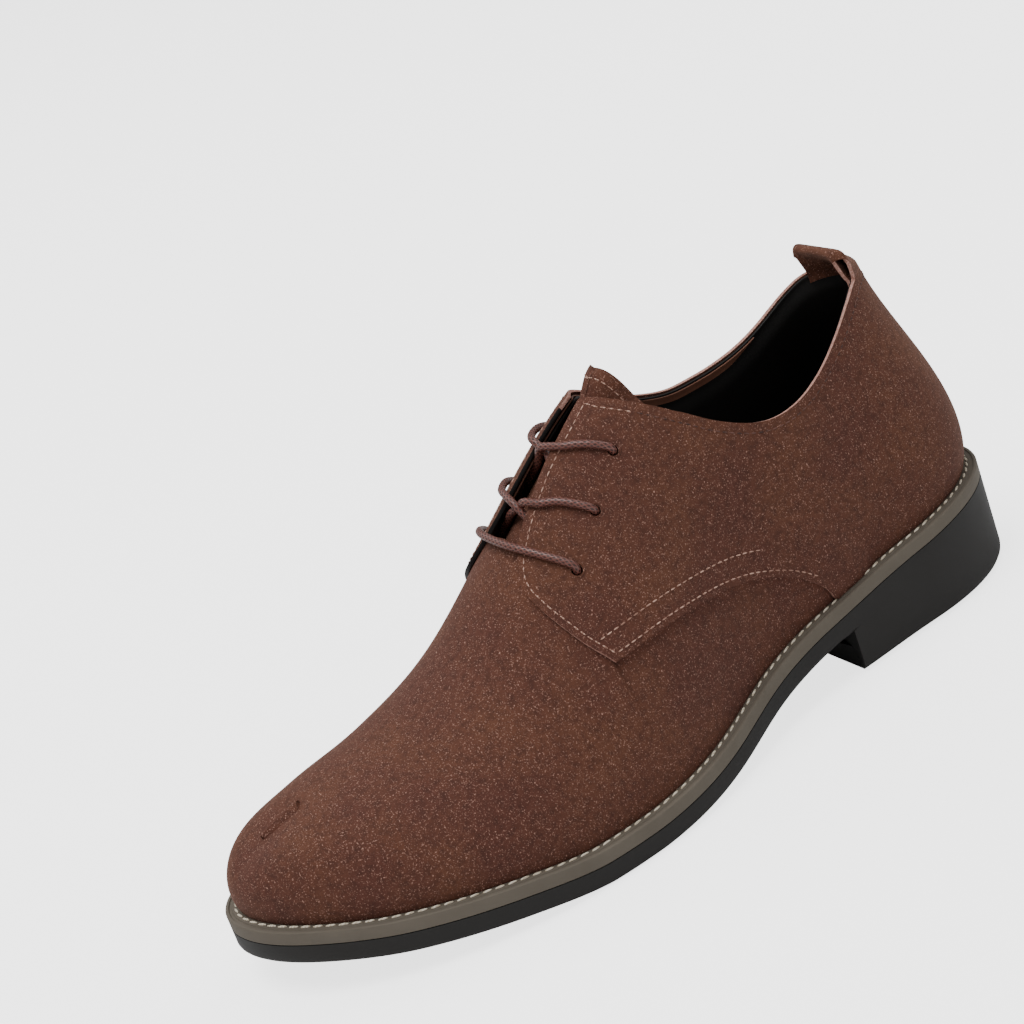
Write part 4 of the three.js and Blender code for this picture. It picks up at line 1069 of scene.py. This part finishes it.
def tonguePlace(u, across):   # across is -1 on the inner edge, 0 on the ridge and 1 on the outer edge
    h = 1 - (1 - tongue["side"]) * np.abs(across)
    sweep = tongue["sweep"] * (1 - (u - tongue["top"]) / tongue["sweepLength"])
    return np.where(across < 0, -1, 1) * (u - sweep * (1 - h)), h


# The free top of the tongue stands up between the facings.
def onTongue(u, across, out):
    s, h = tonguePlace(u, across)
    free = 1 - smoothstep(u, tongue["top"], tongue["standFrom"])
    return onForm(s, h, out + tongue["stand"] * free * smoothstep(h, 0.8, 0.97)), formNormal(s, h)


def makeTongue():
    u = np.linspace(tongue["top"], tongue["front"], 90)[:, None]
    across = np.linspace(-1, 1, 81)[None, :]
    u, across = np.broadcast_arrays(u, across)
    face = laySheet("tongue_leather", *onTongue(u, across, layer["tongue"][1]))
    makeLeather(face, upper["thickness"], "upper_leather", "raw_edge")
    back = laySheet("tongue_backing", *onTongue(u, across, layer["tongue"][0] - 0.05))
    makeLeather(back, upper["liningThickness"], "black_lining", "black_lining", 0.15)
    line = np.linspace(-0.96, 0.96, 160)
    row = onTongue(tongue["top"] + tongue["row"] + 0 * line, line, layer["tongue"][1] + 0.06)
    stitches = sew("tongue_stitching", [row], upperStitch)
    stitches.data.materials.append(finish["upper_thread"])
    wear(face, "tongue", "upper_leather", "tongue")
    wear(back, "tongue", "black_lining", "tongue_lining")
    wear(stitches, "tongue", "upper_leather")


# ---------- lining ----------

collarLining = {"gap": 0.9, "reach": 0.09, "stand": 1.45}


def makeQuarterLining():
    shares = np.linspace(-0.5, 0.5, 240)
    top = toplineH(shares) - 0.006
    top = np.where(np.abs(shares) > facingBack, np.minimum(top, 0.93), top)
    level = closerAtTop(np.linspace(0, 1, 70))[None, :]
    h = top[:, None] * level
    s = np.broadcast_to(shares[:, None], h.shape)
    stand = collarLining["stand"] * smoothstep(h, top[:, None] - collarLining["reach"], top[:, None] - 0.01)
    places = onForm(s, h, layer["lining"][1] + stand)
    piece = laySheet("quarter_lining_leather", places, formNormal(s, h))
    makeLeather(piece, upper["liningThickness"], "black_lining", "black_lining", 0.15)
    wear(piece, "shoe", "black_lining", "quarter_lining")


facingStrip = {"back": 0.2, "front": 0.53, "width": 0.02, "low": 0.5}


# The facing lining runs up behind the eyelets and back along the collar as a narrow strip.
def makeFacingLining(name, side):
    u = np.linspace(facingStrip["back"], facingStrip["front"], 120)
    top = np.minimum(np.interp(u, *quarterTop[side]) - 0.012, 0.955)
    depth = 0.003 + facingStrip["width"] * smoothstep(u, facingStrip["back"], facingStrip["back"] + 0.04)
    depth = depth + smoothstep(u, facingBack - 0.05, facingBack + 0.02) * (
        top - facingStrip["low"] - facingStrip["width"])
    h = top[:, None] - depth[:, None] * np.linspace(1, 0, 40)[None, :]
    s = np.broadcast_to(side * u[:, None], h.shape)
    behindFacing = smoothstep(s * side, facingBack - 0.05, facingBack)
    rise = smoothstep(h, top[:, None] - 0.09, top[:, None] - 0.01)
    out = -0.15 + 1.45 * rise * (1 - behindFacing) + (1.6 + overlapLift + 0.15) * behindFacing
    places = onForm(s, h, out)
    piece = laySheet("facing_leather_" + name, places, formNormal(s, h))
    makeLeather(piece, 0.5, "facing_leather", "facing_leather", 0.12)
    wear(piece, "shoe", "facing_leather", "facing_lining_" + name)


# ---------- pull tab ----------

tab = {"halfShare": 0.085, "height": 11.6, "thickness": 1.2, "slit": 2.2, "lean": 0.2, "foot": 3.0,
       "pinch": 0.75, "corner": 2.4}


# The loop's middle line from one foot up over the top to the other: depth and rise.
def tabProfile():
    depth = tab["slit"] / 2 + tab["thickness"] / 2
    top = tab["height"] - tab["thickness"] / 2
    points = [(tab["pinch"], -tab["foot"]), (tab["pinch"], -0.6), (depth * 0.85, 1.6), (depth, 4),
              (depth, top - depth)]
    arc = [(depth * math.cos(t), top - depth + depth * math.sin(t)) for t in np.linspace(0, math.pi, 9)[1:-1]]
    mirrored = [(-x, z) for x, z in points[::-1]]
    return handCurve(points + arc + mirrored, 4)


def makePullTab():
    shares = np.linspace(-tab["halfShare"], tab["halfShare"], 40)
    h = toplineH(shares)
    foot = onForm(shares, h, np.full(h.shape, layer["upper"][1] / 2 + 0.1))
    out = formNormal(shares, h)
    out[:, 2] = 0
    out = unit(out)
    profile = tabProfile()
    depth, rise = profile[:, 0], profile[:, 1]
    # the fold is pressed flat, so its top runs straight across, and its corners are rounded off
    pressed = smoothstep(rise, 0, tab["height"])[None, :]
    places = foot[:, None] + out[:, None] * depth[None, :, None]
    places[..., 1] += (foot[0, 1] + depth - places[..., 1]) * pressed
    places[..., 1] -= tab["lean"] * np.maximum(rise, 0)
    toEdge = (1 - np.abs(shares) / tab["halfShare"]) * abs(foot[0, 0])
    corner = tab["corner"] * (1 - np.sqrt(1 - np.clip(1 - toEdge / tab["corner"], 0, 1) ** 2))
    places[..., 2] += rise - corner[:, None] * smoothstep(rise, tab["height"] / 2, tab["height"])
    way = unit(np.gradient(places, axis=1))
    across = unit(np.gradient(places, axis=0))
    outward = np.cross(way, across)
    middle = len(depth) // 2
    if outward[20, middle, 2] < 0:
        outward = -outward
    piece = laySheet("pull_tab_loop", places + outward * tab["thickness"] / 2, outward)
    makeLeather(piece, tab["thickness"], "upper_leather", "raw_edge", 0.2)
    low = Vector(toFrame(foot[20]))
    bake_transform(piece)
    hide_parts("pull_tab")


# ---------- welt, outsole and heel ----------

# A closed band that runs round the sole. The section is a loop of inset and height points.
def makeBand(name, section, level, count):
    turn = np.arange(count) / count
    s = 2 * (turn - 0.03 * np.sin(4 * np.pi * turn))
    rings = []
    for inset, height in section + section[:1]:
        x, y, _, _ = soleEdge(s, inset)
        rings.append(np.stack([x, y, level(half - y) + height], -1))
    places = np.stack(rings, 1)
    places = np.concatenate([places, places[:1]])
    centre = places[:, :-1].mean(1)[:, None]
    piece = laySheet(name, places, places - centre)
    weld(piece, 0.02, recalculate=True)
    return piece


def makeWelt():
    edge, thick, groove = welt["edge"], welt["thickness"], welt["groove"]
    section = [(edge * 0.5, 0), (0, edge * 0.4), (0, thick - edge), (edge * 0.3, thick - edge * 0.3),
               (edge, thick), (1.1, thick), (1.35, thick - groove), (2.1, thick - groove), (2.4, thick),
               (welt["shelf"] + 1.2, thick + 0.1), (welt["width"], thick), (welt["width"], 0)]
    piece = makeBand("welt_strip", section, lambda reach: soleTop(reach) + fit * 0.5, 420)
    choose(piece)
    bpy.ops.object.shade_smooth_by_angle(angle=math.radians(48))
    piece.data.materials.append(finish["welt"])
    wear(piece, "shoe", "welt", "welt")


weltStitch = {"pitch": 4.0, "length": 3.2, "width": 0.85, "height": 0.8, "inset": 3.5, "slant": 0.16}


def makeWeltStitches():
    s = np.linspace(0, 2, 1200)
    x, y, _, _ = soleEdge(s, weltStitch["inset"])
    points = np.stack([x, y, weltTop(half - y) - 0.05], -1)
    normals = np.zeros_like(points) + np.array([0, 0, 1.0])
    piece = sew("welt_stitches", [(points, normals)], weltStitch)
    piece.data.materials.append(finish["welt_thread"])
    wear(piece, "shoe", "welt_thread", "welt_stitching")


# A solid of the bottom from heel to toe: walls at both sides, joined across below and above.
def makeBottomSolid(name, shares, wall, across, under, above, hollow=0.0):
    loops = []
    fraction = np.arange(1, across) / across
    for i, u in enumerate(shares):
        outerWall = [soleEdge(u, inset)[:2] + (height,) for inset, height in wall(u)]
        innerWall = [soleEdge(-u, inset)[:2] + (height,) for inset, height in wall(u)]
        loop = [(x, y, z, "wall") for x, y, z in outerWall[::-1]]
        (x0, y0, _), (x1, y1, _) = outerWall[0], innerWall[0]
        loop += [(x0 + (x1 - x0) * t, y0 + (y1 - y0) * t, 0, "under") for t in fraction]
        loop += [(x, y, z, "wall") for x, y, z in innerWall]
        (x0, y0, _), (x1, y1, _) = innerWall[-1], outerWall[-1]
        loop += [(x0 + (x1 - x0) * t, y0 + (y1 - y0) * t, 1, "above") for t in fraction]
        loops.append(loop + loop[:1])
    x = np.array([[float(p[0]) for p in loop] for loop in loops])
    y = np.array([[float(p[1]) for p in loop] for loop in loops])
    level = np.array([[p[2] for p in loop] for loop in loops], float)
    kind = np.array([[p[3] for p in loop] for loop in loops])
    if hollow:
        width = np.maximum(x.max(1) - x.min(1), 1e-3)[:, None]
        way = (x - x.min(1)[:, None]) / width
        push = np.linspace(0, 1, len(shares))[:, None] ** 3
        y = y + hollow * push * (1 - (2 * way - 1) ** 2)
    reach = half - y
    low, high = under(x, y), above(reach)
    plain = under(x * 0 + 1e6, y)
    z = np.where(kind == "wall", plain + np.where(level < 50, level, 0), low)
    z = np.where(kind == "above", high, z)
    z = np.where((kind == "wall") & (level >= 50), high, z)
    places = np.stack([x, y, z], -1)
    centre = places.mean(1)[:, None]
    piece = laySheet(name, places, places - centre)
    weld(piece, 0.02)
    return piece


heel = {"length": 84.4, "topPiece": 6.0, "breastDepth": 6.0, "ribPitch": 1.7, "ribDepth": 0.5,
        "plainShare": 0.43, "lineWidth": 1.4,
        "wall": [(3.6, 0), (2.2, 0.35), (1.0, 1.1), (0.25, 2.3), (0, 3.6), (0, 99)]}
soleReach = half - outline[1][1][:, 1]


def outsoleWall(u):   # the outsole's lower edge is rounded forward of the heel, and square on the heel block
    soft = float(smoothstep(np.interp(u, outline[1][0], soleReach), heel["length"] - 4, heel["length"] + 8))
    return [(2.2 * soft, 0), (1.0 * soft, 0.25), (0.3 * soft, 0.9), (0, 1.8), (0, 4.5), (0, 99)]


tread = {"depth": 1.3, "toeZigzag": 262, "ribPitch": 6.2, "groove": 1.1, "zigzag": 3.4, "wave": 7.0,
         "swing": 1.5, "group": 34.0, "ribs": 4, "end": 148.0, "margin": 2.5}


# How deep the pattern is cut at a place of the outsole's underside.
def treadDepth(x, y):
    reach = half - y
    swing = tread["swing"] * (2 * np.abs(2 * np.mod(x / tread["wave"], 1) - 1) - 1)
    within = np.mod(tread["toeZigzag"] - reach, tread["group"])
    ribsPart = tread["ribs"] * tread["ribPitch"]
    zigzag = np.mod(reach + swing, tread["zigzag"]) < tread["groove"] * 0.8
    jog = np.where(x > 2, tread["ribPitch"] * 0.35, 0)
    rib = np.mod(within + jog, tread["ribPitch"]) < tread["groove"]
    cut = np.where((reach > tread["toeZigzag"]) | (within > ribsPart), zigzag, rib)
    cut = cut & (reach > tread["end"])
    return np.where(cut & (np.abs(x) < 1e5), tread["depth"], 0)


def makeOutsole():
    shares = 0.5 - 0.5 * np.cos(np.linspace(0, np.pi, 520))
    shares = 0.35 * shares + 0.65 * np.linspace(0, 1, 520)
    piece = makeBottomSolid("outsole_rubber", shares, outsoleWall, 84,
                            lambda x, y: groundGap(half - y) + treadDepth(x, y), soleTop)
    choose(piece)
    bpy.ops.object.shade_smooth_by_angle(angle=math.radians(35))
    piece.data.materials.append(finish["sole_rubber"])
    wear(piece, "shoe", "sole_rubber", "outsole")



def heelDepth(x, y):   # fine ribs under the back of the heel, a groove line, and a plain front
    reach = half - y
    line = heel["length"] * (1 - heel["plainShare"])
    rib = (reach < line - 2) & (reach > 3) & (np.mod(reach, heel["ribPitch"]) < heel["ribPitch"] / 2)
    groove = np.abs(reach - line) < heel["lineWidth"] / 2
    return np.where(np.abs(x) < 1e5, heel["ribDepth"] * rib + 1.0 * groove, 0)


def makeHeel():
    share = np.interp(heel["length"], soleReach, outline[1][0])
    shares = share * (0.4 * (1 - np.cos(np.linspace(0, np.pi / 2, 260))) + 0.6 * np.linspace(0, 1, 260))
    lift = makeBottomSolid("heel_lift_rubber", shares, lambda u: heel["wall"], 60, heelDepth,
                           lambda reach: 0 * reach + heel["topPiece"], heel["breastDepth"])
    block = makeBottomSolid("heel_block_rubber", shares[3::4], lambda u: [(0, 0), (0, 99)], 60,
                            lambda x, y: 0 * x + heel["topPiece"], lambda reach: groundGap(reach) + 0.4,
                            heel["breastDepth"])
    for piece, node in ((lift, "heel_top_piece"), (block, "heel_block")):
        closeBreast(piece)
        choose(piece)
        bpy.ops.object.shade_smooth_by_angle(angle=math.radians(35))
        piece.data.materials.append(finish["sole_rubber"])
        wear(piece, "shoe", "sole_rubber", node)


def closeBreast(piece):   # fills the open front end of a heel piece
    choose(piece)
    bpy.ops.object.mode_set(mode="EDIT")
    bpy.ops.mesh.select_mode(type="EDGE")
    bpy.ops.mesh.select_all(action="DESELECT")
    bpy.ops.mesh.select_non_manifold(extend=False, use_wire=False, use_boundary=True,
                                     use_multi_face=False, use_non_contiguous=False, use_verts=False)
    bpy.ops.mesh.fill(use_beauty=True)
    bpy.ops.mesh.select_all(action="SELECT")
    bpy.ops.mesh.normals_make_consistent(inside=False)
    bpy.ops.object.mode_set(mode="OBJECT")


# ---------- build ----------

makeLace()
print("stage: upper")
makeVamp()
makeVampLining()
makeQuarter("lateral", 1)
makeQuarter("medial", -1)
makeUpperStitching()
print("stage: tongue, lining and pull tab")
makeTongue()
makeQuarterLining()
makeFacingLining("lateral", 1)
makeFacingLining("medial", -1)
makePullTab()
print("stage: welt, sole and heel")
makeWelt()
makeWeltStitches()
makeOutsole()
makeHeel()

print("stage: finishes of the carried-over nodes")
slotOf = {row["node"]: row["material_slot"] for row in frame["record"]["subparts"]}
for name, node in frame["nodes"].items():
    node.data.materials.clear()
    node.data.materials.append(finish[slotOf[name]])
